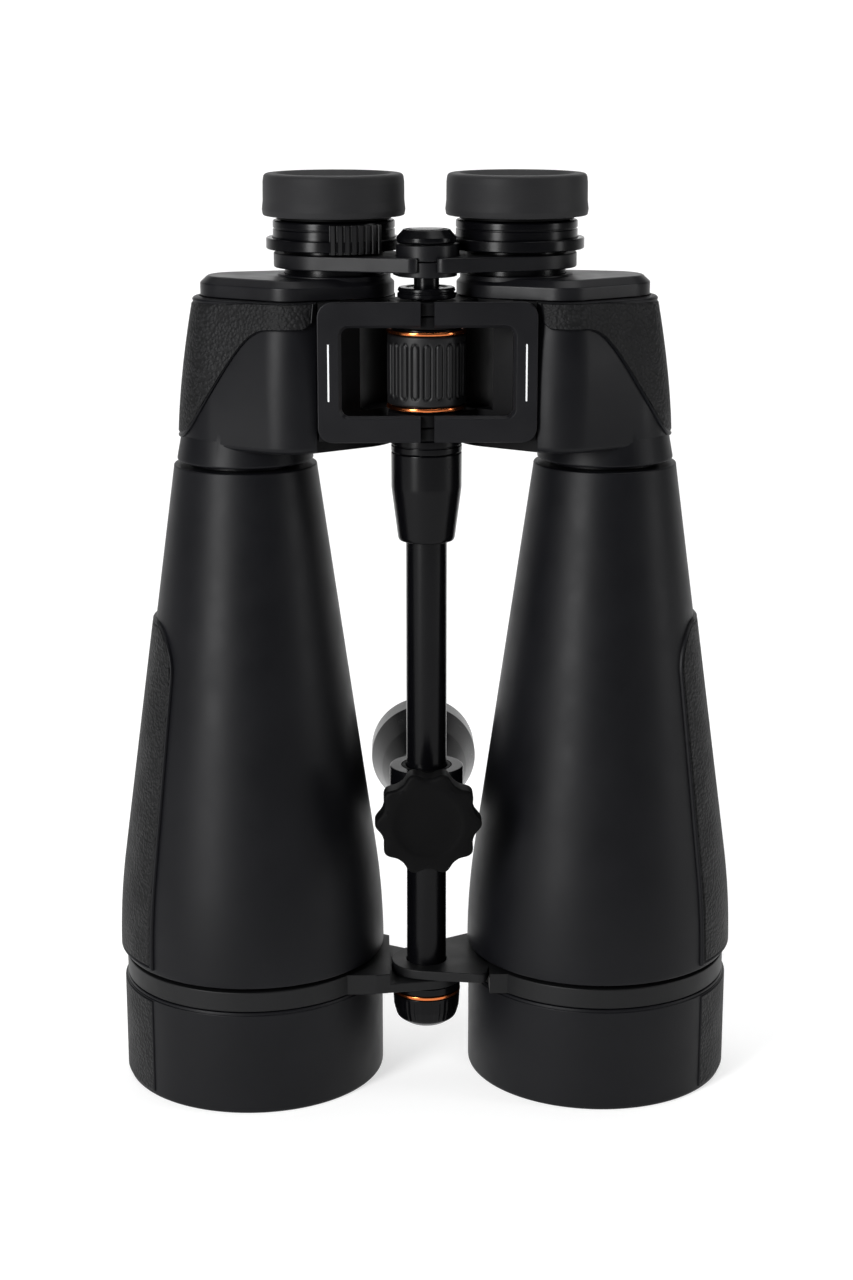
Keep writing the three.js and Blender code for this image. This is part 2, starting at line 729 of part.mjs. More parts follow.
function eyecup() {
  const clear = guideTubeRadius + gap + guideWall + gap;
  const mouth = eyeLensRadius + 2.4;
  return at(spin([
    [clear, cupBottom], [cupRadius, cupBottom], [cupRadius + 0.25, cupBottom + 1.6],
    [cupRadius - 0.1, cupTop - 4], [cupRadius - 1.2, cupTop - 0.9], [cupRadius - 2.8, cupTop],
    [mouth + 0.8, cupTop - 0.2], [mouth, cupTop - 1], [mouth, guideTop + gap + 0.7],
    [clear, guideTop + gap + 0.4],
  ]), eye);
}

// ---- One half -------------------------------------------------------------------------------
// The halves mirror each other, except that their lugs lie over one another round the hinge.
function buildHalf(side, upperLug) {
  const half = new THREE.Group();
  const add = (name, geometry, finish) => addMesh(half, `${side}_${name}`, geometry, finish);
  add('objective_hood', objectiveHood(), 'armour');
  add('objective_cell', objectiveCell(), 'anodised');
  add('objective_doublet', objectiveDoublet(), 'glass');
  add('objective_barrel', objectiveBarrel(), 'armour');
  add('flank_pad', flankPad(), 'grip');
  add('bracket_arm', bracketArm(upperLug), 'bracket');
  add('prism_housing', prismHousing(upperLug), 'casting');
  add('housing_armour', housingArmour(), 'armour');
  add('grip_pad', gripPad(), 'grip');
  add('nameplate', namePlate(), 'cover');
  add('prism_cover', prismCover(), 'cover');
  add('prism_upper', porroPrism(objective, middle, upperFace, upperRidge), 'glass');
  add('prism_lower', porroPrism(middle, eye, lowerFace, lowerRidge), 'glass');
  add('prism_shelf', prismShelf(), 'casting');
  add('bridge_arm', bridgeArm(upperLug), 'anodised');
  add('ocular_barrel', ocularBarrel(), 'anodised');
  add('eye_lens', ocularLens(guideTop - 6.4, 5.2), 'glass');
  add('field_lens', ocularLens(ocularBottom + 1.6, 5.2), 'glass');
  add('eyecup_guide', eyecupGuide(), 'plastic');
  add('eyecup', eyecup(), 'rubber');
  return half;
}

// ---- Hinge, focus drive and rod -----------------------------------------------------------
function hingeAxle() {
  const bore = spindleStemRadius + gap;
  const low = rodTop + 3;
  return spin([
    [0, low], [axleRadius, low], [axleRadius, housingTop], [bore, housingTop],
    [bore, low + 8], [0, low + 8],
  ], slimSides);
}

function rodSocket() {
  const tip = rodRadius + gap + socketTipWall;
  const floor = rodTop + gap;
  return spin([
    [rodRadius + gap, socketBottom], [tip, socketBottom], [tip + 0.3, socketBottom + 1],
    [socketRadius, socketBottom + socketTaper], [socketRadius, socketTop],
    [axleRadius + gap, socketTop], [axleRadius + gap, rodTop + 3 - gap], [1, rodTop + 3 - gap],
    [1, floor], [rodRadius + gap, floor],
  ]);
}

function focusSpindle() {
  const stem = rodTop + 3 + 8 + 6;
  return spin([
    [0, stem], [spindleStemRadius, stem], [spindleStemRadius, spindleShoulder],
    [spindleRadius, spindleShoulder], [spindleRadius, hubTop], [0, hubTop],
  ], slimSides);
}

function spindleCap() {
  const low = hubTop + gap;
  return spin([
    [0, low], [capRadius - 0.5, low], [capRadius, low + 0.5], [capRadius, low + capHeight * 0.45],
    [capRadius * 0.8, low + capHeight * 0.86], [capRadius * 0.72, low + capHeight], [0, low + capHeight],
  ]);
}

function focusWheel() {
  const core = wheelRadius - gripSleeve - gap;
  return tube(axleRadius + gap, core, wheelBottom, wheelTop);
}

function focusGrip() {
  const inner = wheelRadius - gripSleeve;
  const low = wheelBottom + accentInset + accentWidth + gap;
  const high = wheelTop - accentInset - accentWidth - gap;
  const pitch = 360 / gripRibs;
  const ribs = [...Array(gripRibs).keys()].map((i) => {
    const radii = () => [wheelRadius - ribHeight - 0.1, wheelRadius];
    return sector(radii, [low + 0.8, high - 0.8], pitch * i, pitch * (i + 0.62), 1);
  });
  return join(tube(inner, wheelRadius - ribHeight, low, high, gripRibs), ...ribs);
}

function accentRing(low) {
  return tube(wheelRadius - gripSleeve, wheelRadius + 0.1, low, low + accentWidth);
}

function rodEndCap() {
  const groove = endCapRadius - 1.2;
  const ring = hoodTop - capRingDepth;
  const low = hoodTop - endCapHeight;
  const floor = rodBottom - gap;
  return spin([
    [0, low], [endCapRadius * 0.62, low], [endCapRadius * 0.86, low + 2], [endCapRadius - 0.4, low + 6],
    [endCapRadius, ring - accentWidth - 1.6], [endCapRadius, ring - accentWidth - gap],
    [groove, ring - accentWidth - gap], [groove, ring + gap], [endCapRadius, ring + gap],
    [endCapRadius, hoodTop], [rodRadius + gap, hoodTop], [rodRadius + gap, floor], [0, floor],
  ]);
}

function capAccentRing() {
  const ring = hoodTop - capRingDepth;
  return tube(endCapRadius - 1.2 + gap, endCapRadius + 0.1, ring - accentWidth, ring);
}

// ---- Tripod post ----------------------------------------------------------------------------
// Made round an axis that runs forward, its heights are distances in front of the hinge.
function tripodPost() {
  const low = postHeight - postCollarHeight / 2;
  const collar = rod(postCollarRadius, low, low + postCollarHeight);
  const boss = forward(rod(screwRadius + 4, 0, postCollarRadius + 7, slimSides), postHeight);
  const neck = forward(spin([
    [0, -postReach], [footRadius - 0.6, -postReach], [footRadius, 0.6 - postReach],
    [footRadius, footThickness - postReach], [footRadius * 0.8, footThickness + 14 - postReach],
    [neckPostRadius + 2, -24], [neckPostRadius, -10], [neckPostRadius, 0], [0, 0],
  ]), postHeight);
  return cut(
    join(collar, boss, neck),
    rod(bushRadius + gap, low - 1, low + postCollarHeight + 1),
    forward(rod(screwRadius + gap, 0, postCollarRadius + 8, slimSides), postHeight),
    forward(rod(insertRadius + gap, -postReach - 1, insertLength + 1 - postReach, slimSides), postHeight),
  );
}

function threadInsert() {
  const low = gap - postReach;
  return forward(tube(insertBore, insertRadius, low, low + insertLength, slimSides), postHeight);
}

function clampBush() {
  const half = postCollarHeight / 2;
  return tube(rodRadius + gap, bushRadius, postHeight - half, postHeight + half);
}

function clampScrew() {
  return forward(rod(screwRadius, bushRadius + 2 * gap, knobStandOff - gap, slimSides), postHeight);
}

function clampKnob() {
  const shape = new THREE.Shape();
  const pointsPerLobe = 6;
  const count = knobLobes * pointsPerLobe;
  for (let i = 0; i < count; i += 1) {
    const angle = (i / count) * 2 * Math.PI;
    const radius = knobRadius - knobScallop * (1 - Math.cos(knobLobes * angle)) / 2;
    const point = [radius * Math.cos(angle), radius * Math.sin(angle)];
    if (i === 0) shape.moveTo(...point);
    else shape.lineTo(...point);
  }
  const disc = extrude(shape, knobStandOff, knobStandOff + knobThickness);
  return forward(disc, postHeight);
}

function buildCore() {
  const core = new THREE.Group();
  core.position.set(hinge[0], hinge[1], 0);
  const add = (name, geometry, finish) => addMesh(core, name, geometry, finish);
  add('hinge_axle', hingeAxle(), 'steel');
  add('socket_ring', tube(axleRadius + gap, socketRadius, socketTop + gap, lugBottom - gap), 'anodised');
  add('rod_socket', rodSocket(), 'anodised');
  add('center_rod', rod(rodRadius, rodBottom, rodTop), 'anodised');
  add('rod_end_cap', rodEndCap(), 'anodised');
  add('cap_accent_ring', capAccentRing(), 'accent');
  add('focus_wheel', focusWheel(), 'anodised');
  add('focus_grip', focusGrip(), 'rubber');
  add('accent_ring_lower', accentRing(wheelBottom + accentInset), 'accent');
  add('accent_ring_upper', accentRing(wheelTop - accentInset - accentWidth), 'accent');
  add('hinge_collar', tube(spindleRadius + gap, collarRadius, coverBottom + gap, collarTop), 'anodised');
  add('focus_spindle', focusSpindle(), 'steel');
  add('spindle_cap', spindleCap(), 'anodised');
  add('tripod_post', tripodPost(), 'anodised');
  add('thread_insert', threadInsert(), 'brass');
  add('clamp_bush', clampBush(), 'plastic');
  add('clamp_screw', clampScrew(), 'steel');
  add('clamp_knob', clampKnob(), 'plastic');
  return core;
}

// ---- Whole object ---------------------------------------------------------------------------
const group = new THREE.Group();
const leftHalf = buildHalf('left', true);
addMesh(leftHalf, 'left_lock_ring', lockRing(), 'anodised');
const rightHalf = buildHalf('right', false);
addMesh(rightHalf, 'right_diopter_ring', diopterRing(), 'anodised');
rightHalf.scale.x = -1;
group.add(leftHalf, rightHalf, buildCore());

export default group;
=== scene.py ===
# Looks of a large porro-prism astronomy binocular with a centre rod and a sliding tripod post.
# Sizes below are in millimetres; meshes are made in metres, in the part's own frame.
import json
import math

import bmesh
import bpy
import numpy as np
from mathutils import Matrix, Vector


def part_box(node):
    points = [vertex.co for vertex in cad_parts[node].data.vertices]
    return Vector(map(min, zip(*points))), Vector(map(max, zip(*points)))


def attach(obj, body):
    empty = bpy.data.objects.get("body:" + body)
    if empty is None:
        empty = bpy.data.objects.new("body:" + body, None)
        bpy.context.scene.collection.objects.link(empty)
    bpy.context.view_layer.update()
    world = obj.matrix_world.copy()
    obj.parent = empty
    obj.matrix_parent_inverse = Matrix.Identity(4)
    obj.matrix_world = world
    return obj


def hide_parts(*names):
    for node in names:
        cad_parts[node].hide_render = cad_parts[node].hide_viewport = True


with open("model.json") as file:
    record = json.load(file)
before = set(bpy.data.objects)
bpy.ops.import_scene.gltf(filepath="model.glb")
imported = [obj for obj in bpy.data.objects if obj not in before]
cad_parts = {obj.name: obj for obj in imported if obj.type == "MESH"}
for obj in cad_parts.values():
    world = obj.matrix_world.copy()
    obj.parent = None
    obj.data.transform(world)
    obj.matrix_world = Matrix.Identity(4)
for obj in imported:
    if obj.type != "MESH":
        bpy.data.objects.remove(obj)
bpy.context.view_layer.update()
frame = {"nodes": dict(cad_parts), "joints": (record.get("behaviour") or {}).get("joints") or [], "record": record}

mm = 0.001
gap = 0.3  # clearance between pieces that fit into one another
axleBore = 5.8  # bore of the pieces that turn on the hinge axle
bodyOf = {}  # which body carries each node of the part
for bodyName, members in frame["record"]["behaviour"]["bodies"].items():
    for member in members:
        bodyOf[member] = bodyName


# measuring the part

def boxOf(node):
    low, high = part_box(node)
    return [v / mm for v in low], [v / mm for v in high]


def centreOf(node):
    low, high = boxOf(node)
    return ((low[0] + high[0]) / 2, (low[1] + high[1]) / 2)


def halfWidth(node):
    low, high = boxOf(node)
    return (high[0] - low[0]) / 2


foldJoint = next(j for j in frame["joints"] if j["name"] == "left_fold")
hinge = (foldJoint["pos_m"][0] / mm, foldJoint["pos_m"][1] / mm)
objective = centreOf("left_objective_hood")
eye = centreOf("left_eyecup")
across = (objective[0] - eye[0], objective[1] - eye[1])
middle = ((objective[0] + eye[0] + across[1]) / 2, (objective[1] + eye[1] - across[0]) / 2)


# outlines and profiles

def rounded(points, closed=True, steps=5):
    # points are (a, b) or (a, b, fillet); each fillet becomes a short curve
    out = []
    count = len(points)
    for i, point in enumerate(points):
        p = np.array(point[:2], float)
        fillet = point[2] if len(point) > 2 else 0
        atEnd = not closed and i in (0, count - 1)
        if fillet <= 0 or atEnd:
            out.append(p)
            continue
        before = np.array(points[i - 1][:2], float) - p
        after = np.array(points[(i + 1) % count][:2], float) - p
        lengthBefore, lengthAfter = np.linalg.norm(before), np.linalg.norm(after)
        before, after = before / lengthBefore, after / lengthAfter
        half = math.acos(max(-1.0, min(1.0, float(before @ after)))) / 2
        reach = min(fillet / max(math.tan(half), 1e-3), 0.48 * lengthBefore, 0.48 * lengthAfter)
        start, end = p + before * reach, p + after * reach
        for k in range(steps + 1):
            t = k / steps
            out.append((1 - t) ** 2 * start + 2 * t * (1 - t) * p + t * t * end)
    return np.array(out)


def evenly(points, count):
    # a closed outline walked at even steps from its first point
    loop = np.vstack([points, points[:1]])
    walked = np.concatenate([[0], np.cumsum(np.linalg.norm(np.diff(loop, axis=0), axis=1))])
    at = np.linspace(0, walked[-1], count, endpoint=False)
    return np.stack([np.interp(at, walked, loop[:, i]) for i in (0, 1)], axis=1)


def wrapped(circles, count=320):
    # outline of a band stretched round circles of (x, y, radius)
    turn = np.linspace(0, 2 * math.pi, 2880, endpoint=False)
    heading = np.stack([np.cos(turn), np.sin(turn)], axis=1)
    centres = np.array([c[:2] for c in circles], float)
    radii = np.array([c[2] for c in circles], float)
    reach = heading @ centres.T + radii
    best = np.argmax(reach, axis=1)
    return evenly(centres[best] + radii[best, None] * heading, count)


def circleOf(centre, radius, count=128):
    turn = np.linspace(0, 2 * math.pi, count, endpoint=False)
    return np.stack([centre[0] + radius * np.cos(turn), centre[1] + radius * np.sin(turn)], axis=1)


def softRectangle(x, z, corner, perCorner=10, perSide=14):
    # closed outline with the same number of points whatever its size, so that two can be joined
    (x0, x1), (z0, z1) = x, z
    corners = [
        ((x1 - corner, z0 + corner), -90), ((x1 - corner, z1 - corner), 0),
        ((x0 + corner, z1 - corner), 90), ((x0 + corner, z0 + corner), 180),
    ]
    out = []
    for i, (centre, start) in enumerate(corners):
        for k in range(perCorner + 1):
            a = math.radians(start + 90 * k / perCorner)
            out.append((centre[0] + corner * math.cos(a), centre[1] + corner * math.sin(a)))
        last = np.array(out[-1])
        nextCentre, nextStart = corners[(i + 1) % 4]
        a = math.radians(nextStart)
        first = np.array((nextCentre[0] + corner * math.cos(a), nextCentre[1] + corner * math.sin(a)))
        out += [tuple(last + (first - last) * k / (perSide + 1)) for k in range(1, perSide + 1)]
    return np.array(out)


# making meshes

def meshFrom(name, verts, faces, smoothAngle=32):
    data = bpy.data.meshes.new(name)
    data.from_pydata([tuple(v) for v in np.asarray(verts, float) * mm], [], faces)
    work = bmesh.new()
    work.from_mesh(data)
    bmesh.ops.remove_doubles(work, verts=work.verts, dist=1e-7)
    bmesh.ops.recalc_face_normals(work, faces=work.faces)
    work.to_mesh(data)
    work.free()
    piece = bpy.data.objects.new(name, data)
    bpy.context.scene.collection.objects.link(piece)
    shadeSmooth(piece, smoothAngle)
    return piece


def shadeSmooth(piece, angle=32):
    data = piece.data
    data.polygons.foreach_set("use_smooth", [True] * len(data.polygons))
    data.set_sharp_from_angle(angle=math.radians(angle))


def ringFaces(levels, count, closedAlong):
    faces = []
    for i in range(levels if closedAlong else levels - 1):
        a, b = i * count, ((i + 1) % levels) * count
        for k in range(count):
            n = (k + 1) % count
            faces.append((a + k, a + n, b + n, b + k))
    return faces


def lofted(name, rings, closedAlong=False):
    # rings are lists of points in space, one loop above another; open stacks get flat ends
    count = len(rings[0])
    faces = ringFaces(len(rings), count, closedAlong)
    if not closedAlong:
        faces += [tuple(range(count))[::-1], tuple(range((len(rings) - 1) * count, len(rings) * count))]
    return meshFrom(name, np.vstack(rings), faces)


def lift(outline, z):
    return np.column_stack([outline, np.full(len(outline), z)])


def stacked(name, outlineAt, low, high, edge=0.6, steps=4):
    # a plate with rounded rims: outlineAt(inset) gives its outline drawn in by that much
    quarter = [(edge * (1 - math.sin(a)), edge * (1 - math.cos(a)))
               for a in np.linspace(0, math.pi / 2, steps + 1)]
    levels = [(inset, low + rise) for inset, rise in quarter]
    levels += [(inset, high - rise) for inset, rise in reversed(quarter)]
    return lofted(name, [lift(outlineAt(inset), z) for inset, z in levels])


def ringAt(centre, radius, turn, height, forwardAt=None):
    # one loop of a turned piece; forwardAt lays the axis along -Y at that height
    x, rise = centre[0] + radius * np.cos(turn), radius * np.sin(turn)
    if forwardAt is None:
        return np.stack([x, centre[1] + rise, np.full(len(turn), height)], axis=1)
    return np.stack([x, np.full(len(turn), centre[1] - height), forwardAt + rise], axis=1)


def turned(name, points, centre=(0, 0), sides=128, steps=5, forwardAt=None):
    # a lathe profile of (radius, height[, fillet]), closed unless it starts and ends on the axis;
    # with forwardAt, heights are distances in front of the hinge
    onAxis = points[0][0] == 0 and points[-1][0] == 0
    path = rounded(points, closed=not onAxis, steps=steps)
    turn = np.radians(np.linspace(0, 360, sides, endpoint=False))
    verts = [ringAt(centre, radius, turn, height, forwardAt) for radius, height in path]
    return meshFrom(name, np.vstack(verts), tidied(verts, ringFaces(len(path), sides, not onAxis)))


def tidied(verts, faces):
    # quads that touch the axis become triangles
    flat = np.vstack(verts)
    key = {}
    same = []
    for i, v in enumerate(np.round(flat, 5)):
        same.append(key.setdefault(tuple(v), i))
    out = []
    for face in faces:
        loop = []
        for i in face:
            j = same[i]
            if not loop or (loop[-1] != j and loop[0] != j):
                loop.append(j)
        if len(loop) >= 3:
            out.append(tuple(loop))
    return out


def applied(piece):
    # the piece's modifiers are made permanent
    graph = bpy.context.evaluated_depsgraph_get()
    data = bpy.data.meshes.new_from_object(piece.evaluated_get(graph), depsgraph=graph)
    piece.modifiers.clear()
    piece.data = data
    return piece


def carved(piece, *cutters, how="DIFFERENCE"):
    for cutter in cutters:
        step = piece.modifiers.new("cut", "BOOLEAN")
        step.operation = how
        step.solver = "MANIFOLD"
        step.object = cutter
        bpy.context.view_layer.update()
        applied(piece)
        bpy.data.objects.remove(cutter)
    work = bmesh.new()
    work.from_mesh(piece.data)
    bmesh.ops.remove_doubles(work, verts=work.verts, dist=2e-6)
    bmesh.ops.dissolve_degenerate(work, edges=work.edges, dist=2e-6)
    work.to_mesh(piece.data)
    work.free()
    shadeSmooth(piece)
    return piece


def brick(name, x, y, z):
    corners = [(x[i], y[j], z[k]) for k in (0, 1) for j in (0, 1) for i in (0, 1)]
    faces = [(0, 1, 3, 2), (4, 6, 7, 5), (0, 4, 5, 1), (2, 3, 7, 6), (0, 2, 6, 4), (1, 5, 7, 3)]
    return meshFrom(name, corners, faces)


def cylinder(name, centre, radius, low, high, sides=128):
    return lofted(name, [lift(circleOf(centre, radius, sides), z) for z in (low, high)])


def flipX(piece):
    # turns a left piece into the right half's
    for v in piece.data.vertices:
        v.co.x = -v.co.x
    piece.data.flip_normals()
    return piece


def mirrored(piece, name):
    # the right half's copy of a left piece
    data = piece.data.copy()
    data.name = name
    twin = bpy.data.objects.new(name, data)
    bpy.context.scene.collection.objects.link(twin)
    work = bmesh.new()
    work.from_mesh(data)
    for v in work.verts:
        v.co.x = -v.co.x
    bmesh.ops.reverse_faces(work, faces=work.faces)
    work.to_mesh(data)
    work.free()
    return twin


def fitted(piece, look, node, slotName, replaces=None, flatten=True):
    # gives a piece its finish, and lets it ride where the part's node rides; it replaces that node by default
    replaces = [node] if replaces is None else replaces
    if look is not None:
        piece.data.materials.clear()
        piece.data.materials.append(finish[look])
    if flatten:
        step = piece.modifiers.new("shading", "WEIGHTED_NORMAL")
        step.keep_sharp = True
    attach(piece, bodyOf[node])
    if replaces:
        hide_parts(*replaces)


def bothSides(piece, look, node, slotName, **options):
    # fits a left piece and its mirrored twin; the node is named without its side
    twin = mirrored(piece, piece.name.replace("left", "right"))
    for side, half in (("left_", piece), ("right_", twin)):
        fitted(half, look, side + node, slotName, **options)


# finishes, all drawn by nodes

def newMaterial(name):
    # a material, its shader and three helpers; an input takes a value or the output that feeds it
    material = bpy.data.materials.new(name)
    material.use_nodes = True
    nodes, links = material.node_tree.nodes, material.node_tree.links

    def feed(node, inputs):
        for key, value in inputs.items():
            if isinstance(value, bpy.types.NodeSocket):
                links.new(value, node.inputs[key])
            else:
                node.inputs[key].default_value = value

    def add(kind, output, inputs=None, **settings):
        node = nodes.new("ShaderNode" + kind)
        for key, value in settings.items():
            setattr(node, key, value)
        feed(node, inputs or {})
        return node.outputs[output]

    def ramp(share, look, start, end):
        # runs from the look's dark colour to its light one
        node = nodes.new("ShaderNodeValToRGB")
        for element, position, shade in zip(node.color_ramp.elements, (start, end), ("dark", "light")):
            element.position, element.color = position, (*look[shade], 1)
        links.new(share, node.inputs["Fac"])
        return node.outputs["Color"]

    return material, nodes["Principled BSDF"], feed, add, ramp


# what a look leaves out; scales are per metre, depths in metres
plainLook = {"metal": 0.0, "specular": 0.5, "ior": 1.5, "sheen": 0.0, "sheenRoughness": 0.5, "driftScale": 38.0,
             "speck": 0.12, "speckScale": 2600.0, "rubScale": 90.0, "grain": 0.25, "grainScale": 1700.0,
             "grainDepth": 0.00005, "pebble": 0.0, "lathe": 0.0, "latheDepth": 0.00002}


def finishOf(name, look):
    # every finish has its own colour drift, gloss drift and surface grain
    look = {**plainLook, **look}
    material, shader, feed, add, ramp = newMaterial(name)
    place = add("TexCoord", "Object")

    def noise(scale, detail):
        return add("TexNoise", "Fac", {"Vector": place, "Scale": scale, "Detail": detail})

    def bump(height, strength, depth, **under):
        return add("Bump", "Normal", {"Height": height, "Strength": strength, "Distance": depth, **under})

    def shaded(colour, share):
        return add("VectorMath", "Vector", {0: colour, "Scale": share}, operation="SCALE")

    # broad, slow drift of the colour, with a finer mottle over it
    drift = ramp(noise(look["driftScale"], 3.0), look, 0.3, 0.72)
    colour = shaded(drift, add("MapRange", "Result", {
        "Value": noise(look["speckScale"], 2.0), "To Min": 1.0 - look["speck"], "To Max": 1.0 + look["speck"]}))
    gloss = add("MapRange", "Result", {  # drifts between the look's two values
        "Value": noise(look["rubScale"], 4.0), "From Min": 0.3, "From Max": 0.7,
        "To Min": look["rough"][0], "To Max": look["rough"][1]})
    normal = bump(noise(look["grainScale"], 3.0), look["grain"], look["grainDepth"])

    if look["pebble"]:
        # leather-like pebbles: rounded cells with narrow valleys, each a little different, with painted shade in the
        # valleys and a painted highlight on the crests
        warp = add("TexNoise", "Color", {"Vector": place, "Scale": look["pebbleScale"] * 0.6})
        pull = add("VectorMath", "Vector", {0: warp, 1: (look["warp"],) * 3, 2: place},
                   operation="MULTIPLY_ADD")
        cells = add("TexVoronoi", "Distance", {
            "Vector": pull, "Scale": look["pebbleScale"], "Smoothness": 0.35}, feature="SMOOTH_F1")
        dome = add("MapRange", "Result", {"Value": cells, "From Min": 0.15, "From Max": 0.75,
                                          "To Min": 1.0, "To Max": 0.0}, interpolation_type="SMOOTHSTEP")
        normal = bump(dome, look["pebble"], look["pebbleDepth"], Normal=normal)
        # painted shade and highlight: the colour is darkened in the valleys between pebbles and lightened on their
        # crests
        colour = shaded(colour, add("MapRange", "Result", {
            "Value": dome, "To Min": look["valley"], "To Max": look["crest"]}))

    if look["lathe"]:
        # faint rings left by the tool, across the turning axis
        height = add("SeparateXYZ", "Z", {"Vector": place})
        rings = add("TexNoise", "Fac", {"W": height, "Scale": look["latheScale"], "Detail": 2.0},
                    noise_dimensions="1D")
        normal = bump(rings, look["lathe"], look["latheDepth"], Normal=normal)

    feed(shader, {"Base Color": colour, "Roughness": gloss, "Normal": normal, "Metallic": look["metal"],
                  "Specular IOR Level": look["specular"], "IOR": look["ior"],
                  "Sheen Weight": look["sheen"], "Sheen Roughness": look["sheenRoughness"]})
    return material


def glassOf(name, look):
    # a coated lens: clear glass under a tinted coat, with a trace of dust
    material, shader, feed, add, ramp = newMaterial(name)
    place = add("TexCoord", "Object")
    dust = add("TexNoise", "Fac", {"Vector": place, "Scale": 260.0, "Detail": 5.0})
    haze = add("MapRange", "Result", {"Value": dust, "From Min": 0.45, "From Max": 0.9,
                                      "To Min": 0.0, "To Max": look["haze"]})
    ripple = add("Bump", "Normal", {"Height": dust, "Strength": 0.02, "Distance": 0.00001})
    feed(shader, {"Base Color": ramp(dust, look, 0, 1), "Roughness": haze, "Normal": ripple,
                  "Transmission Weight": 1.0, "IOR": look["ior"], "Coat Weight": look["coat"],
                  "Coat Roughness": 0.02, "Coat Tint": (*look["tint"], 1)})
    return material


looks = {
    "armourRubber": {"dark": (0.0026, 0.0027, 0.0036), "light": (0.0040, 0.0041, 0.0052), "rough": (0.4, 0.48),
                     "specular": 0.15, "grain": 0.22, "grainScale": 2100.0, "grainDepth": 0.00004},
    # pebbleRubber's valley and crest scale its colour: painted shade in the valleys, painted highlight on the crests
    "pebbleRubber": {"dark": (0.0045, 0.0046, 0.0050), "light": (0.0080, 0.0081, 0.0088), "rough": (0.52, 0.62),
                     "specular": 0.16, "pebble": 0.85, "pebbleScale": 820.0, "pebbleDepth": 0.00024,
                     "warp": 0.0011, "valley": 0.55, "crest": 1.25, "speck": 0.2, "grain": 0.3},
    "eyecupRubber": {"dark": (0.0068, 0.0068, 0.0076), "light": (0.0092, 0.0092, 0.0102), "rough": (0.55, 0.66),
                     "specular": 0.16, "grain": 0.35, "grainScale": 2800.0,
                     "sheen": 0.06, "sheenRoughness": 0.6},
    "wheelRubber": {"dark": (0.0032, 0.0032, 0.0036), "light": (0.0050, 0.0050, 0.0056), "rough": (0.42, 0.54),
                    "specular": 0.25, "grain": 0.3, "grainScale": 2600.0},
    "castPaint": {"dark": (0.0014, 0.0014, 0.0017), "light": (0.0024, 0.0024, 0.0028), "rough": (0.45, 0.58),
                  "specular": 0.1, "grain": 0.5, "grainScale": 1500.0, "grainDepth": 0.00007},
    "bracketPaint": {"dark": (0.0036, 0.0037, 0.0040), "light": (0.0055, 0.0056, 0.0061), "rough": (0.42, 0.52),
                     "specular": 0.2, "grain": 0.45, "grainScale": 1900.0, "grainDepth": 0.00006},
    "coverPlastic": {"dark": (0.0034, 0.0034, 0.0043), "light": (0.0052, 0.0052, 0.0064), "rough": (0.34, 0.44),
                     "specular": 0.18, "grain": 0.2, "grainScale": 2400.0, "grainDepth": 0.00004},
    "knobPlastic": {"dark": (0.0014, 0.0014, 0.0015), "light": (0.0022, 0.0022, 0.0024), "rough": (0.5, 0.62),
                    "specular": 0.06, "grain": 0.4, "grainScale": 1800.0},
    "blackAnodised": {"dark": (0.0012, 0.0012, 0.0016), "light": (0.0020, 0.0020, 0.0026), "rough": (0.2, 0.28),
                      "specular": 0.14, "grain": 0.12, "grainScale": 3000.0, "grainDepth": 0.00002,
                      "lathe": 0.25, "latheScale": 2600.0},
    "satinAnodised": {"dark": (0.0034, 0.0034, 0.0042), "light": (0.0052, 0.0052, 0.0062),
                      "rough": (0.34, 0.44), "specular": 0.2, "grain": 0.25, "grainScale": 2600.0,
                      "grainDepth": 0.00003},
    "copperAnodised": {"dark": (0.62, 0.155, 0.045), "light": (0.86, 0.26, 0.085), "rough": (0.16, 0.26),
                       "metal": 1.0, "grain": 0.15, "lathe": 0.3, "latheScale": 5200.0, "speck": 0.06},
    "bareSteel": {"dark": (0.20, 0.20, 0.21), "light": (0.34, 0.34, 0.35), "rough": (0.22, 0.34),
                  "metal": 1.0, "grain": 0.2, "lathe": 0.5, "latheScale": 3800.0, "speck": 0.08},
    "insertBrass": {"dark": (0.42, 0.27, 0.10), "light": (0.58, 0.40, 0.17), "rough": (0.24, 0.36),
                    "metal": 1.0, "grain": 0.2, "lathe": 0.4, "latheScale": 4200.0, "speck": 0.08},
    "pinstripe": {"dark": (0.62, 0.63, 0.64), "light": (0.74, 0.75, 0.76), "rough": (0.45, 0.55),
                  "speck": 0.05, "grain": 0.2},
}
finish = {key: finishOf(key, look) for key, look in looks.items()}
finish["coatedGlass"] = glassOf("coatedGlass", {
    "ior": 1.52, "coat": 1.0, "tint": (0.42, 0.78, 0.62), "haze": 0.05,
    "dark": (0.80, 0.90, 0.88), "light": (0.90, 0.96, 0.95)})
finish["prismGlass"] = glassOf("prismGlass", {
    "ior": 1.57, "coat": 0.4, "tint": (0.7, 0.8, 1.0), "haze": 0.04,
    "dark": (0.86, 0.90, 0.92), "light": (0.93, 0.95, 0.97)})
print("finishes made")


# the objective end, measured on the left half
cellLow, cellHigh = boxOf("left_objective_cell")
doubletLow, doubletHigh = boxOf("left_objective_doublet")
armLow, armHigh = boxOf("left_bracket_arm")
barrelLow, barrelHigh = boxOf("left_objective_barrel")

hoodLook = {"wall": 4.2, "rim": 1.5, "topEdge": 0.7, "baffles": 9, "baffleDepth": 0.45}
hoodRadius = halfWidth("left_objective_hood")
hoodTop = boxOf("left_objective_hood")[1][2]
cellRadius = halfWidth("left_objective_cell")


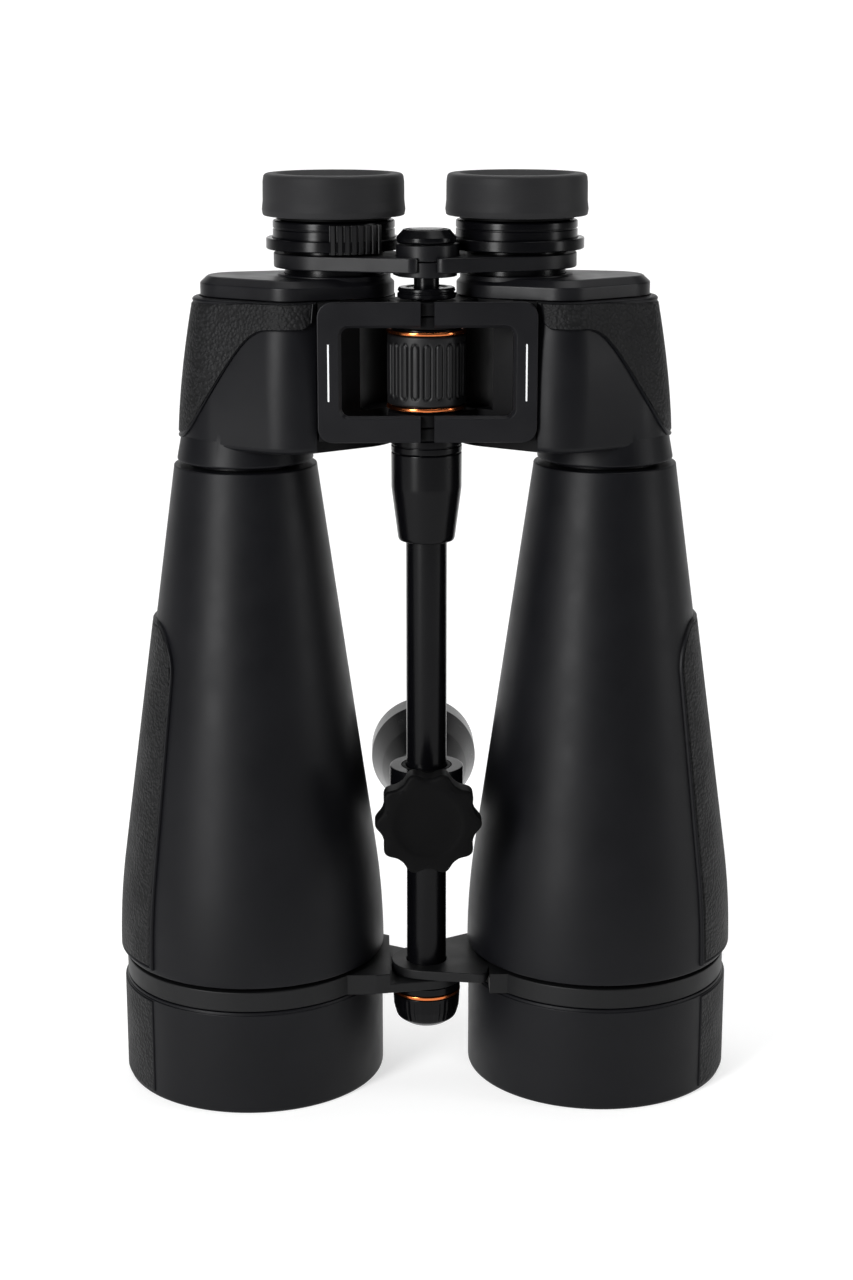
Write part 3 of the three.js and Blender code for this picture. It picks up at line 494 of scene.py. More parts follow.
def objectiveHood():
    inner = hoodRadius - hoodLook["wall"]
    seat = cellRadius + gap
    recess = cellLow[2] - 1.2
    baffles = []
    pitch = (recess - 5) / hoodLook["baffles"]
    for i in range(hoodLook["baffles"]):  # shallow ridges that kill stray light
        z = recess - 1.5 - pitch * i
        baffles += [(inner, z), (inner + hoodLook["baffleDepth"], z - pitch * 0.5, 0.1),
                    (inner, z - pitch * 0.55)]
    return turned("left_hood", [
        (inner, 0, 1.2), (hoodRadius, 0, hoodLook["rim"]),
        (hoodRadius, hoodTop - 1.1, 0.3), (hoodRadius - 0.35, hoodTop - 0.9, 0.2),
        (hoodRadius - 0.5, hoodTop, hoodLook["topEdge"]), (seat, hoodTop, 0.3),
        (seat, recess + 0.9), (inner, recess), *baffles,
    ], objective, sides=176)


bothSides(objectiveHood(), "armourRubber", "objective_hood", "armour_rubber")

cellLook = {"notches": 4, "notch": 1.6}


def objectiveCell():
    outer = cellRadius
    inner = halfWidth("left_objective_doublet") + gap
    low, high = cellLow[2], cellHigh[2]
    body = turned("left_cell", [
        (inner - 1.2, low, 0.3), (outer - 0.4, low, 0.4), (outer - 0.4, low + 2.6), (outer, low + 2.6, 0.2),
        (outer, high, 0.3), (inner, high, 0.3), (inner, low + 1.9), (inner - 1.2, low + 1.5, 0.2),
    ], objective, sides=144)
    cuts = []
    for i in range(cellLook["notches"]):  # spanner notches of the retaining ring
        a = math.pi / 4 + i * math.pi / 2
        x, y = objective[0] + (inner - 1.0) * math.cos(a), objective[1] + (inner - 1.0) * math.sin(a)
        cuts.append(cylinder("notch", (x, y), cellLook["notch"] / 2, low - 1, low + 1.2, 20))
    return carved(body, *cuts)


bothSides(objectiveCell(), "blackAnodised", "objective_cell", "black_anodised")

doubletLook = {"crown": 1.9}


def domedLens(name, centre, radius, low, high, crown, sides=112):
    # bulges on both faces, with a ground edge
    profile = [(0, low)]
    for i in range(1, 13):
        r = radius * i / 12
        profile.append((r * 0.992, low + crown * (i / 12) ** 2))
    profile += [(radius, low + crown + 0.25), (radius, high - crown - 0.25)]
    for i in range(12, 0, -1):
        r = radius * i / 12
        profile.append((r * 0.992, high - crown * (i / 12) ** 2))
    profile.append((0, high))
    return turned(name, profile, centre, sides)


bothSides(domedLens("left_doublet", objective, halfWidth("left_objective_doublet"),
                    doubletLow[2], doubletHigh[2], doubletLook["crown"]),
          "coatedGlass", "objective_doublet", "coated_glass")

barrelLook = {"flare": 36.2, "topRadius": 24.6, "spigot": 6.6, "rise": 1.1, "wall": 2.4,
              "footEdge": 0.9, "neckWall": 2.2}
barrelRadius = halfWidth("left_objective_barrel")
barrelBottom = armHigh[2] + 1.5
barrelTop = barrelHigh[2] - barrelLook["spigot"] + barrelLook["rise"]


def barrelRadiusAt(z):
    # straight foot that curves into a cone
    flareTop = barrelBottom + barrelLook["flare"]
    rise = barrelTop - barrelBottom - barrelLook["flare"] / 2
    slope = (barrelRadius - barrelLook["topRadius"]) / rise
    if z >= flareTop:
        return barrelLook["topRadius"] + slope * (barrelTop - z)
    t = max(0.0, (z - barrelBottom) / barrelLook["flare"])  # the curve's heights are even in t
    topOfCurve = barrelLook["topRadius"] + slope * (barrelTop - flareTop)
    return (1 - t) ** 2 * barrelRadius + 2 * t * (1 - t) * barrelRadius + t * t * topOfCurve


def objectiveBarrel():
    neck = cellRadius - 1.2
    wall = barrelLook["wall"]
    spigot = barrelLook["topRadius"] - 6.0
    heights = [barrelBottom + barrelLook["flare"] * i / 16 for i in range(1, 17)]
    heights += list(np.linspace(heights[-1], barrelTop - 1.2, 12)[1:])
    outside = [(barrelRadiusAt(z), z) for z in heights]
    inside = [(barrelRadiusAt(z) - wall, z) for z in reversed(heights[:-1]) if z > barrelBottom + 4]
    return turned("left_barrel", [
        (neck - barrelLook["neckWall"], barrelLow[2], 0.3), (neck, barrelLow[2], 0.3), (neck, barrelBottom),
        (barrelRadius - 0.1, barrelBottom, barrelLook["footEdge"]), *outside,
        (barrelRadiusAt(barrelTop - 0.5), barrelTop, 1.0), (spigot, barrelTop, 0.2),
        (spigot, barrelHigh[2], 0.4), (spigot - 1.8, barrelHigh[2], 0.3), (spigot - 1.8, barrelTop - 4),
        *inside, (neck - barrelLook["neckWall"], barrelBottom + 3),
    ], objective, sides=176, steps=4)


bothSides(objectiveBarrel(), "armourRubber", "objective_barrel", "armour_rubber")
print("hoods, cells, lenses and barrels made")


# raised pads that lie on a curved skin

def padRows(length, edge, count):
    # stops along one direction of a pad, close together where its rim rolls over
    rim = [0, 0.12, 0.3, 0.55, 0.8, 1.0, 1.5, 2.0, 2.6, 3.2]
    near = [edge * r for r in rim if edge * r < length * 0.4]
    inner = list(np.linspace(near[-1], length - near[-1], count)[1:-1])
    return near + inner + [length - n for n in reversed(near)]


def raisedPad(name, pointAt, normalAt, across, along, look, grooveLook=None):
    # pointAt(u, v) is a point of the skin for u, v in 0..1; across and along are rough sizes in mm
    us = [u / across for u in padRows(across, look["edge"], look["columns"])]
    vs = [v / along for v in padRows(along, look["edge"], look["rows"])]
    count = len(us)
    top, foot, fromRim = [], [], []
    for v in vs:
        for u in us:
            near = min(min(u, 1 - u) * across, min(v, 1 - v) * along)
            share = min(1.0, near / look["edge"])
            rise = look["rise"] * math.sqrt(1 - (1 - share) ** 2)
            if grooveLook and grooveLook["at"] < near < grooveLook["at"] + grooveLook["width"] * 1.6:
                rise -= grooveLook["depth"] * math.sin(
                    math.pi * (near - grooveLook["at"]) / (grooveLook["width"] * 1.6))
            point, normal = np.array(pointAt(u, v)), np.array(normalAt(u, v))
            top.append(point + normal * rise)
            foot.append(point - normal * look["bury"])
            fromRim.append(near)
    faces, marks = [], []
    rows = len(vs)
    size = count * rows
    for j in range(rows - 1):
        for i in range(count - 1):
            a, b = j * count + i, (j + 1) * count + i
            faces.append((a, a + 1, b + 1, b))
            marks.append(min(fromRim[k] for k in (a, a + 1, b, b + 1)))
            faces.append((size + a, size + b, size + b + 1, size + a + 1))
            marks.append(0)
    rim = list(range(count)) + [j * count + count - 1 for j in range(1, rows)]
    rim += [(rows - 1) * count + i for i in range(count - 2, -1, -1)]
    rim += [j * count for j in range(rows - 2, 0, -1)]
    for k, a in enumerate(rim):
        b = rim[(k + 1) % len(rim)]
        faces.append((a, size + a, size + b, b))
        marks.append(0)
    piece = meshFrom(name, np.vstack([top, foot]), faces, 50)
    inGrain = grooveLook["at"] + grooveLook["width"] if grooveLook else look["edge"]
    piece.data.materials.append(finish["armourRubber"])
    piece.data.materials.append(finish["pebbleRubber"])
    for polygon, mark in zip(piece.data.polygons, marks):
        polygon.material_index = 1 if mark >= inGrain * 0.98 else 0
    return piece


flankLook = {"rise": 1.15, "bury": 0.2, "edge": 0.7, "columns": 40, "rows": 64, "halfAngle": 44,
             "foot": 48.4, "top": 169.2, "taperFrom": 0.86, "topAngle": 15}
flankGroove = {"at": 0.9, "width": 0.5, "depth": 0.45}


def flankPad():
    low, high = flankLook["foot"], flankLook["top"]

    def spread(v):
        # the pad keeps its width and then narrows to a rounded top
        t = max(0.0, (v - flankLook["taperFrom"]) / (1 - flankLook["taperFrom"]))
        wide, narrow = flankLook["halfAngle"], flankLook["topAngle"]
        return wide - (wide - narrow) * (1 - math.sqrt(1 - t * t))

    def pointAt(u, v):
        z = low + (high - low) * v
        a = math.radians((2 * u - 1) * spread(v))
        r = barrelRadiusAt(z)
        return (objective[0] + r * math.cos(a), objective[1] + r * math.sin(a), z)

    def normalAt(u, v):
        a = math.radians((2 * u - 1) * spread(v))
        return (math.cos(a), math.sin(a), 0)

    return raisedPad("left_flank", pointAt, normalAt, 66, high - low, flankLook, flankGroove)


bothSides(flankPad(), None, "flank_pad", "grip_rubber", flatten=False)

hoodPatchLook = {"rise": 0.5, "bury": 0.2, "edge": 0.4, "columns": 40, "rows": 20, "halfAngle": 42}


def hoodPatch():
    low, high = 1.9, hoodTop - 1.4

    def at(u):
        return math.radians((2 * u - 1) * hoodPatchLook["halfAngle"])

    return raisedPad(
        "left_hood_patch",
        lambda u, v: (objective[0] + hoodRadius * math.cos(at(u)), objective[1] + hoodRadius * math.sin(at(u)),
                      low + (high - low) * v),
        lambda u, v: (math.cos(at(u)), math.sin(at(u)), 0),
        68, high - low, hoodPatchLook)


bothSides(hoodPatch(), None, "objective_hood", "grip_rubber", replaces=(), flatten=False)
print("flank pads made")


# bracket round the barrels
bandLook = {"edge": 0.5, "radius": 46.0, "clearance": 0.3}
lugLook = {"radius": 12.6, "edge": 0.4, "gap": 0.3, "front": 16, "tail": 12, "corner": 3, "step": 22}


def bracketArm(side):
    # the left half's arm thins to an upper lug and the right half's to a lower one
    look = lugLook
    low, high = armLow[2], armHigh[2]
    lapMiddle = (low + high) / 2
    upper = side == "left"
    neck = cellRadius - 1.2 + bandLook["clearance"]
    front = hinge[1] - look["front"]
    frontCorner = (objective[0] - bandLook["radius"] + 2, front + look["corner"], look["corner"])
    backCorner = (objective[0] - bandLook["radius"] + 10, look["tail"], look["corner"])

    def footprint(inset):
        circles = [(*hinge, look["radius"]), frontCorner, backCorner]
        return wrapped([(x, y, r - inset) for x, y, r in circles], 240)

    arm = stacked("left_arm", footprint, low, high, look["edge"])
    bridge = rounded([(frontCorner[0], front), (objective[0] - 30, front),
                      (objective[0] - 20, look["tail"] + 8), (backCorner[0], look["tail"] + look["corner"])])
    carved(arm, lofted("bridge", [lift(bridge, low + 0.001), lift(bridge, high - 0.001)]), how="UNION")
    stop = look["step"] if upper else look["radius"] + 2 * look["gap"]
    carved(arm, brick("room", (-60, stop), (-60, 60), (low - 1, high + 1)))
    lugLevels = (lapMiddle + look["gap"] / 2, high) if upper else (low, lapMiddle - look["gap"] / 2)
    lug = stacked("lug", footprint, *lugLevels, look["edge"])
    carved(arm, lug, how="UNION")
    carved(arm,
           cylinder("bore", objective, neck + 1, low - 1, high + 1, 176),
           cylinder("bore", hinge, halfWidth("center_rod") + gap, low - 1, high + 1))
    band = turned("left_band", [
        (neck, low, 0.2), (bandLook["radius"], low, bandLook["edge"]),
        (bandLook["radius"], high, bandLook["edge"]), (neck, high, 0.2),
    ], objective, sides=176)
    for piece, label in ((arm, side + "_arm"), (band, side + "_band")):
        if not upper:
            flipX(piece)
        piece.name = label
        fitted(piece, "bracketPaint", side + "_bracket_arm", "bracket_paint")


bracketArm("left")
bracketArm("right")
print("bracket made")


# prism housing
armourLow, armourHigh = boxOf("left_housing_armour")
coverLow, coverHigh = boxOf("left_prism_cover")
plateLow, plateHigh = boxOf("left_nameplate")
wheelLow, wheelHigh = boxOf("focus_wheel")

housingLook = {"collar": 6, "collarTop": 21.9, "collarFoot": 23.6, "shoulder": 15.9, "flare": 6,
               "belly": 16.5, "draw": 3.5, "eyeEnd": 22, "skin": 1.7, "wall": 1.8, "bellyEdge": 2.2,
               "topEdge": 0.7, "lug": 13, "webEnd": 5}
housingTop = armourHigh[2]
collarBottom = armourLow[2]
bellyBottom = collarBottom + housingLook["collar"]
housingHeight = housingTop - bellyBottom
wheelRoom = math.hypot(eye[0] - hinge[0], eye[1] - hinge[1]) - 12.9


def housingCircles(z, grow):
    up = min(1.0, max(0.0, (z - bellyBottom) / housingHeight))
    look = housingLook
    return [
        (*objective, look["shoulder"] + look["flare"] * (1 - up ** 1.6) + grow),
        (*middle, look["belly"] - look["draw"] * up ** 3 + grow),
        (*eye, look["eyeEnd"] + grow),
    ]


def housingLevels(grow, low, high, edgeLow, edgeHigh, steps=14):
    levels = []
    for a in np.linspace(0, math.pi / 2, 6):
        levels.append((low + edgeLow * (1 - math.cos(a)), -edgeLow * (1 - math.sin(a))))
    for z in np.linspace(low + edgeLow, high - edgeHigh, steps)[1:-1]:
        levels.append((z, 0))
    for a in np.linspace(math.pi / 2, 0, 5):
        levels.append((high - edgeHigh * (1 - math.cos(a)), -edgeHigh * (1 - math.sin(a))))
    return [lift(wrapped(housingCircles(z, grow + inset)), z) for z, inset in levels]


def housingArmour():
    look = housingLook
    shell = lofted("left_armour", housingLevels(0, bellyBottom, housingTop, look["bellyEdge"], look["topEdge"]))
    foot = turned("foot", [
        (0, collarBottom), (look["collarFoot"], collarBottom, 0.8), (look["collarTop"], bellyBottom + 3, 0),
        (0, bellyBottom + 3),
    ], objective, sides=160)
    carved(shell, foot, how="UNION")
    inner = gap - look["skin"]
    hollow = lofted("hollow", [lift(wrapped(housingCircles(z, inner)), z)
                               for z in np.linspace(bellyBottom + 1.4, housingTop + 1, 8)])
    footHollow = turned("hollow", [
        (0, collarBottom - 1), (look["collarFoot"] + inner, collarBottom - 1),
        (look["collarTop"] + inner, bellyBottom + 4), (0, bellyBottom + 4)], objective)
    plateEdge = plateHigh[0] + gap
    opening = brick("opening", (-5, plateEdge), (-60, hinge[1] + 4.3), (0, housingTop + 5))
    room = cylinder("room", hinge, wheelRoom + 4, 0, housingTop + 5)
    return carved(shell, hollow, footHollow, opening, room)


bothSides(housingArmour(), "armourRubber", "housing_armour", "armour_rubber")
print("housing armour made")


def hingeLugs(name, upper):
    # two lugs that interleave with the other half's, each with a web into the casting
    lugHeight = (wheelLow[2] - gap - plateLow[2] - gap) / 2
    reach = math.atan2(eye[1] - hinge[1], eye[0] - hinge[0])
    web = (hinge[0] + (wheelRoom - 4.5) * math.cos(reach), hinge[1] + (wheelRoom - 4.5) * math.sin(reach))
    bottoms = [plateLow[2] + upper * (lugHeight + gap), wheelHigh[2] + gap + upper * (lugHeight + gap)]
    look = housingLook

    def footprint(inset):
        return wrapped([(*hinge, look["lug"] - inset), (*web, look["webEnd"] - inset)], 180)

    pieces = []
    for i, low in enumerate(bottoms):
        lug = stacked(f"{name}_lug_{i}", footprint, low, low + lugHeight, 0.5)
        carved(lug, cylinder("bore", hinge, axleBore, low - 1, low + lugHeight + 1))
        pieces.append(lug if upper else flipX(lug))
    return pieces


def prismHousing():
    look = housingLook
    skin = look["skin"]
    cast = lofted("left_casting", [lift(wrapped(housingCircles(z, -skin)), z)
                                   for z in np.linspace(bellyBottom, housingTop, 12)])
    foot = turned("foot", [
        (0, collarBottom), (look["collarFoot"] - skin, collarBottom),
        (look["collarTop"] - skin, bellyBottom + 2), (0, bellyBottom + 2)], objective)
    apron = brick("apron", (plateHigh[0] - 8 + 0.3, plateHigh[0] - 0.4), (plateHigh[1] + 0.3, hinge[1] + 4),
                  (plateLow[2] + 0.2, housingTop))
    carved(cast, foot, apron, how="UNION")
    hollow = lofted("hollow", [lift(wrapped(housingCircles(z, -skin - look["wall"])), z)
                               for z in np.linspace(bellyBottom + 2.2, housingTop + 1, 8)])
    carved(hollow, cylinder("room", hinge, wheelRoom + look["wall"], bellyBottom - 1, housingTop + 3))
    carved(cast,
           cylinder("room", hinge, wheelRoom, wheelLow[2] - gap, wheelHigh[2] + gap),
           hollow,
           cylinder("lugRoom", hinge, 13.6, bellyBottom - 1, housingTop + 2),
           cylinder("spigot", objective, 18.9, collarBottom - 1, bellyBottom + 3.2),
           cylinder("ocularRoom", eye, halfWidth("left_field_lens") + 3.2, housingTop - 1.2, housingTop + 2))
    return cast


bothSides(prismHousing(), "castPaint", "prism_housing", "cast_housing")
for side, upper in (("left", 1), ("right", 0)):
    for lug in hingeLugs(side, upper):
        fitted(lug, "castPaint", side + "_prism_housing", "cast_housing", replaces=())
print("casting and hinge lugs made")


shoulderLook = {"rise": 1.0, "bury": 0.2, "edge": 0.45, "columns": 120, "rows": 40, "frontEdge": 39.2,
                "sweep": [(39.2, 274.2), (39.9, 272.4), (41, 271.8), (53.5, 271.5), (55.9, 270.8), (58.7, 269.0),
                          (61.3, 266.2), (64.3, 262.2), (67.4, 257.5), (72.7, 248.8), (77.1, 241.2),
                          (79.2, 237.5), (81.6, 234.2), (83.7, 232.4), (87, 231.6), (99, 231.6)]}
shoulderGroove = {"at": 0.5, "width": 0.4, "depth": 0.35}


def shoulderPad():
    look = shoulderLook
    top = housingTop - 0.15
    rings = 600
    reference = wrapped(housingCircles(bellyBottom + housingHeight * 0.7, 0), rings)
    # the front of the outline runs backwards from its first point, the back runs forwards
    frontStop = next(k for k in range(1, rings) if reference[-k][0] < look["frontEdge"])
    backStop = next(k for k in range(1, rings) if reference[k][0] < look["frontEdge"])
    cache = {}

    def outlineAt(z):
        key = round(z, 2)
        if key not in cache:
            loop = wrapped(housingCircles(z, 0), rings)
            forward = np.roll(loop, -1, axis=0) - np.roll(loop, 1, axis=0)
            forward /= np.linalg.norm(forward, axis=1)[:, None]
            cache[key] = (loop, np.column_stack([forward[:, 1], -forward[:, 0]]))
        return cache[key]

    def lowerEdge(x):
        # level shelf beside the plate, then a sweep down to the outer tip, with its bends softened
        xs, zs = zip(*look["sweep"])
        return float(np.mean(np.interp(x + np.linspace(-0.9, 0.9, 5), xs, zs)))

    def along(k, z):
        loop, outward = outlineAt(z)
        i, share = int(math.floor(k)), k - math.floor(k)
        a, b = i % rings, (i + 1) % rings
        return loop[a] * (1 - share) + loop[b] * share, outward[a] * (1 - share) + outward[b] * share

    lowest = {}

    def lowestAt(k):
        # the edge is drawn on the surface itself, which widens towards the belly
        if k not in lowest:
            z = top
            for _ in range(8):
                z = lowerEdge(along(k, z)[0][0])
            lowest[k] = z
        return lowest[k]

    def place(u, v):
        k = -frontStop + (frontStop + backStop) * u
        low = lowestAt(k)
        z = low + (top - low) * v
        return (*along(k, z), z)

    def pointAt(u, v):
        point, _, z = place(u, v)
        return (*point, z)

    def normalAt(u, v):
        _, normal, _ = place(u, v)
        normal = normal / np.linalg.norm(normal)
        return (*normal, 0)

    return raisedPad("left_shoulder", pointAt, normalAt, 118, 24, look, shoulderGroove)


bothSides(shoulderPad(), None, "grip_pad", "grip_rubber", flatten=False)
print("shoulder pads made")


coverLook = {"inset": 1.6, "edge": 4.2, "bevel": 2.6, "neckRise": 0.4, "fillet": 0.8, "neckWall": 2.1}


def prismCover():
    look = coverLook
    low, top = coverLow[2], coverHigh[2] - look["neckRise"]
    inset = look["inset"]
    rim = rounded([
        (inset + 0.5, low), (inset, low, 0.3), (inset, low + look["edge"], look["fillet"]),
        (inset + look["bevel"], top, 1.6), (inset + look["bevel"] + 4, top)], closed=False)
    rings = [lift(wrapped(housingCircles(housingTop, -inset)), z) for inset, z in rim]
    plate = lofted("left_cover", rings)
    neck = halfWidth("left_field_lens") + 2.3 + 0.6
    collar = turned("neck", [
        (0, low + 1), (neck + look["neckWall"], low + 1), (neck + look["neckWall"], coverHigh[2], 0.3),
        (0, coverHigh[2])], eye)
    carved(plate, collar, how="UNION")
    return carved(plate,
                  cylinder("ocularHole", eye, halfWidth("left_field_lens") + 2.9, low - 1, coverHigh[2] + 1),
                  cylinder("hingeHole", hinge, halfWidth("hinge_collar") + 0.6, low - 1, coverHigh[2] + 1))


bothSides(prismCover(), "coverPlastic", "prism_cover", "cover_plastic")

plateLook = {"corner": 5, "window": 28.5, "windowCorner": 2.6, "edge": 0.45, "chamfer": 1.0,
             "chamferDepth": 1.1, "stripe": 19, "stripeWidth": 0.55}


def stand(outline, y):
    return np.column_stack([outline[:, 0], np.full(len(outline), y), outline[:, 1]])


def namePlate():
    look = plateLook
    x, z = plateHigh[0], (plateLow[2], plateHigh[2])
    front, back = plateLow[1], plateHigh[1]
    window = (wheelLow[2] - 0.3, wheelHigh[2] + 1.2)

    def outer(inset):
        return softRectangle((-x + inset, x - inset), (z[0] + inset, z[1] - inset), look["corner"] - inset)

    def inner(outset):
        return softRectangle((-look["window"] - outset, look["window"] + outset),
                             (window[0] - outset, window[1] + outset), look["windowCorner"] + outset)

    edge, chamfer, deep = look["edge"], look["chamfer"], look["chamferDepth"]
    rings = [stand(outer(0), back), stand(outer(0), front + edge)]
    rings += [stand(outer(edge * (1 - math.cos(a))), front + edge * (1 - math.sin(a)))
              for a in np.linspace(0, math.pi / 2, 5)[1:]]
    rings += [stand(inner(chamfer + 0.15), front), stand(inner(chamfer), front + 0.05),
              stand(inner(0.15), front + deep - 0.05), stand(inner(0), front + deep + 0.1),
              stand(inner(0), back)]
    plate = lofted("left_plate", rings, closedAlong=True)
    carved(plate, brick("half", (-60, plateLow[0]), (-60, 0), (0, 400)))
    return plate


bothSides(namePlate(), "coverPlastic", "nameplate", "cover_plastic")


def pinstripe():
    # a plain printed line stands where a maker would put its name
    look = plateLook
    x = (plateHigh[0] + look["window"]) / 2 + 0.3
    half, middleZ = look["stripe"] / 2, (plateLow[2] + plateHigh[2]) / 2
    outline = softRectangle((x - look["stripeWidth"] / 2, x + look["stripeWidth"] / 2),
                            (middleZ - half, middleZ + half), look["stripeWidth"] * 0.45, 6, 4)
    return lofted("left_stripe", [stand(outline, plateLow[1] + depth) for depth in (0.05, -0.04)])


bothSides(pinstripe(), "pinstripe", "nameplate", "cover_plastic", replaces=())
print("covers and name plates made")


# prisms and their shelf keep the part's own meshes, with rounded rims
for side in ("left_", "right_"):
    for node, key, slotName, rim in (("prism_upper", "prismGlass", "prism_glass", 0.35),
                                     ("prism_lower", "prismGlass", "prism_glass", 0.35),
                                     ("prism_shelf", "castPaint", "cast_housing", 0.3)):
        piece = frame["nodes"][side + node]
        piece.data.materials.clear()
        piece.data.materials.append(finish[key])
        step = piece.modifiers.new("edge", "BEVEL")
        step.width, step.segments = rim * mm, 2
        step.limit_method = "ANGLE"
        step.angle_limit = math.radians(35)


# bridge and eyepieces
ocularLow, ocularHigh = boxOf("left_ocular_barrel")
ringLow, ringHigh = boxOf("left_lock_ring")
cupLow, cupHigh = boxOf("left_eyecup")
guideLow, guideHigh = boxOf("left_eyecup_guide")
eyeLensLow, eyeLensHigh = boxOf("left_eye_lens")
fieldLow, fieldHigh = boxOf("left_field_lens")
capLow, capHigh = boxOf("spindle_cap")

bridgeLook = {"hub": 10.2, "armThickness": 4.9, "armRise": 1.7, "edge": 0.45, "slot": 3.3, "wall": 3.4,
              "spindle": 4.55}
tubeRadius = 16.8
seatRadius = halfWidth("left_ocular_barrel")
hubBottom = boxOf("right_bridge_arm")[0][2]
armBottom = hubBottom + bridgeLook["armRise"]
armTop = armBottom + bridgeLook["armThickness"]
hubTop = boxOf("left_bridge_arm")[1][2]
hubSplit = hubBottom + (hubTop - hubBottom - gap) / 2


def bridgeArm(side, upper):
    look = bridgeLook
    lip = (hinge[0] + 5.5, hinge[1] - look["hub"] + 1.7, 3.2)
    root = (hinge[0] + 2, hinge[1] + 1.5, 4.5)
    ring = tubeRadius + gap + look["wall"]
    arm = stacked(f"{side}_bridge", lambda inset: wrapped(
        [(*lip[:2], lip[2] - inset), (*root[:2], root[2] - inset), (*eye, tubeRadius - inset)]),
        armBottom, armTop, look["edge"])
    collar = stacked("collar", lambda inset: wrapped([(*lip[:2], lip[2] - inset), (*eye, ring - inset)]),
                     armBottom, armTop, look["edge"])
    carved(arm, collar, how="UNION")
    carved(arm,
           cylinder("hub", hinge, look["hub"] + gap, armBottom - 1, armTop + 1),
           brick("slot", (-12, look["slot"]), (hinge[1] - 20, hinge[1]), (armBottom - 1, armTop + 1)),
           cylinder("tube", eye, tubeRadius + gap, armBottom - 1, armTop + 1))
    low, high = (hubSplit + gap, hubTop) if upper else (hubBottom, hubSplit)
    reach = math.atan2(eye[1] - hinge[1], eye[0] - hinge[0])
    web = (hinge[0] + 7.5 * math.cos(reach), hinge[1] + 7.5 * math.sin(reach))
    hub = stacked(f"{side}_hub", lambda inset: wrapped(
        [(*hinge, look["hub"] - inset), (*web, 4.6 - inset)], 160), low, high, 0.35)
    carved(hub, cylinder("spindle", hinge, look["spindle"], low - 1, high + 1, 64))
    for piece in (arm, hub):
        if side == "right":
            flipX(piece)
        fitted(piece, "satinAnodised", f"{side}_bridge_arm", "black_anodised",
               replaces=None if piece == arm else ())


bridgeArm("left", True)
bridgeArm("right", False)

ocularLook = {"wall": 2.3, "guide": 17.8, "groove": 0.35}
seatBottom, seatTop = armTop + 1.3, cupLow[2] - 1.5


def ocularBarrel():
    bore = tubeRadius - ocularLook["wall"]
    guide = ocularLook["guide"]
    groove = ocularLook["groove"]
    low, high = seatBottom, seatTop
    return turned("left_ocular", [
        (bore, ocularLow[2], 0.3), (tubeRadius, ocularLow[2], 0.4), (tubeRadius, low), (seatRadius, low, 0.4),
        (seatRadius, high - 3.1, 0.2), (seatRadius - groove, high - 2.9, 0.15),
        (seatRadius - groove, high - 2.6, 0.15), (seatRadius, high - 2.4, 0.2), (seatRadius, high, 0.7),
        (guide, high, 0.3), (guide, ocularHigh[2], 0.4), (bore, ocularHigh[2], 0.4),
    ], eye, sides=160)


bothSides(ocularBarrel(), "blackAnodised", "ocular_barrel", "black_anodised")
bothSides(domedLens("left_eye_glass", eye, halfWidth("left_eye_lens"), eyeLensLow[2], eyeLensHigh[2], 1.3, 80),
          "coatedGlass", "eye_lens", "coated_glass")
bothSides(domedLens("left_field_glass", eye, halfWidth("left_field_lens"), fieldLow[2], fieldHigh[2], 1.3, 80),
          "coatedGlass", "field_lens", "coated_glass")

ringLook = {"chamfer": 0.35, "edge": 0.25}


def flangeRing(name, centre):
    inner, outer = seatRadius + gap, halfWidth("left_lock_ring")
    low, high = ringLow[2], ringHigh[2]
    return turned(name, [
        (inner, low, 0.2), (outer - ringLook["chamfer"], low, 0.2), (outer, low + ringLook["chamfer"], 0.2),
        (outer, high - ringLook["chamfer"], 0.2), (outer - ringLook["chamfer"], high, ringLook["edge"]),
        (inner, high, 0.2)], centre, sides=160)


fitted(flangeRing("lock_flange", eye), "blackAnodised", "left_lock_ring", "black_anodised")
diopterLook = {"first": -135, "last": -87, "ribs": 8, "depth": 0.75, "radius": 23.4, "edge": 0.9}


def diopterRing():
    # the flange carries a ribbed thumb grip in front, on the hinge side
    low, high = boxOf("right_diopter_ring")[0][2] + 0.1, boxOf("right_diopter_ring")[1][2]
    look = diopterLook
    inner, outer = seatRadius + gap, look["radius"]
    stops = 241
    angles = np.linspace(look["first"], look["last"], stops)
    levels = rounded([(inner, low), (0, low, look["edge"]), (0, high, look["edge"]), (inner, high)],
                     closed=False, steps=6)
    rings = []
    pitch = (look["last"] - look["first"]) / look["ribs"]
    for r, z in levels:
        ring = []
        for a in angles:
            phase = ((a - look["first"]) / pitch) % 1.0
            wave = 0.5 - 0.5 * math.cos(2 * math.pi * phase)
            rib = min(1.0, wave * 1.9) ** 1.4  # flat-topped ribs with narrow valleys
            radius = max(inner, outer - look["depth"] * (1 - rib) - (outer - inner) * (r / inner))
            ring.append((eye[0] + radius * math.cos(math.radians(a)),
                         eye[1] + radius * math.sin(math.radians(a)), z))
        rings.append(ring)
    verts = np.array(rings).reshape(-1, 3)
    count, rows = stops, len(rings)
    faces = [(i * count + k, i * count + k + 1, ((i + 1) % rows) * count + k + 1, ((i + 1) % rows) * count + k)
             for i in range(rows) for k in range(count - 1)]
    faces.append(tuple(i * count for i in range(rows)))
    faces.append(tuple(i * count + count - 1 for i in range(rows))[::-1])
    return meshFrom("diopter_grip", verts, faces)


fitted(flipX(flangeRing("diopter_flange", eye)), "blackAnodised", "right_diopter_ring", "black_anodised")
fitted(flipX(diopterRing()), "wheelRubber", "right_diopter_ring", "black_anodised", replaces=())

cupLook = {"shoulder": 2.6}


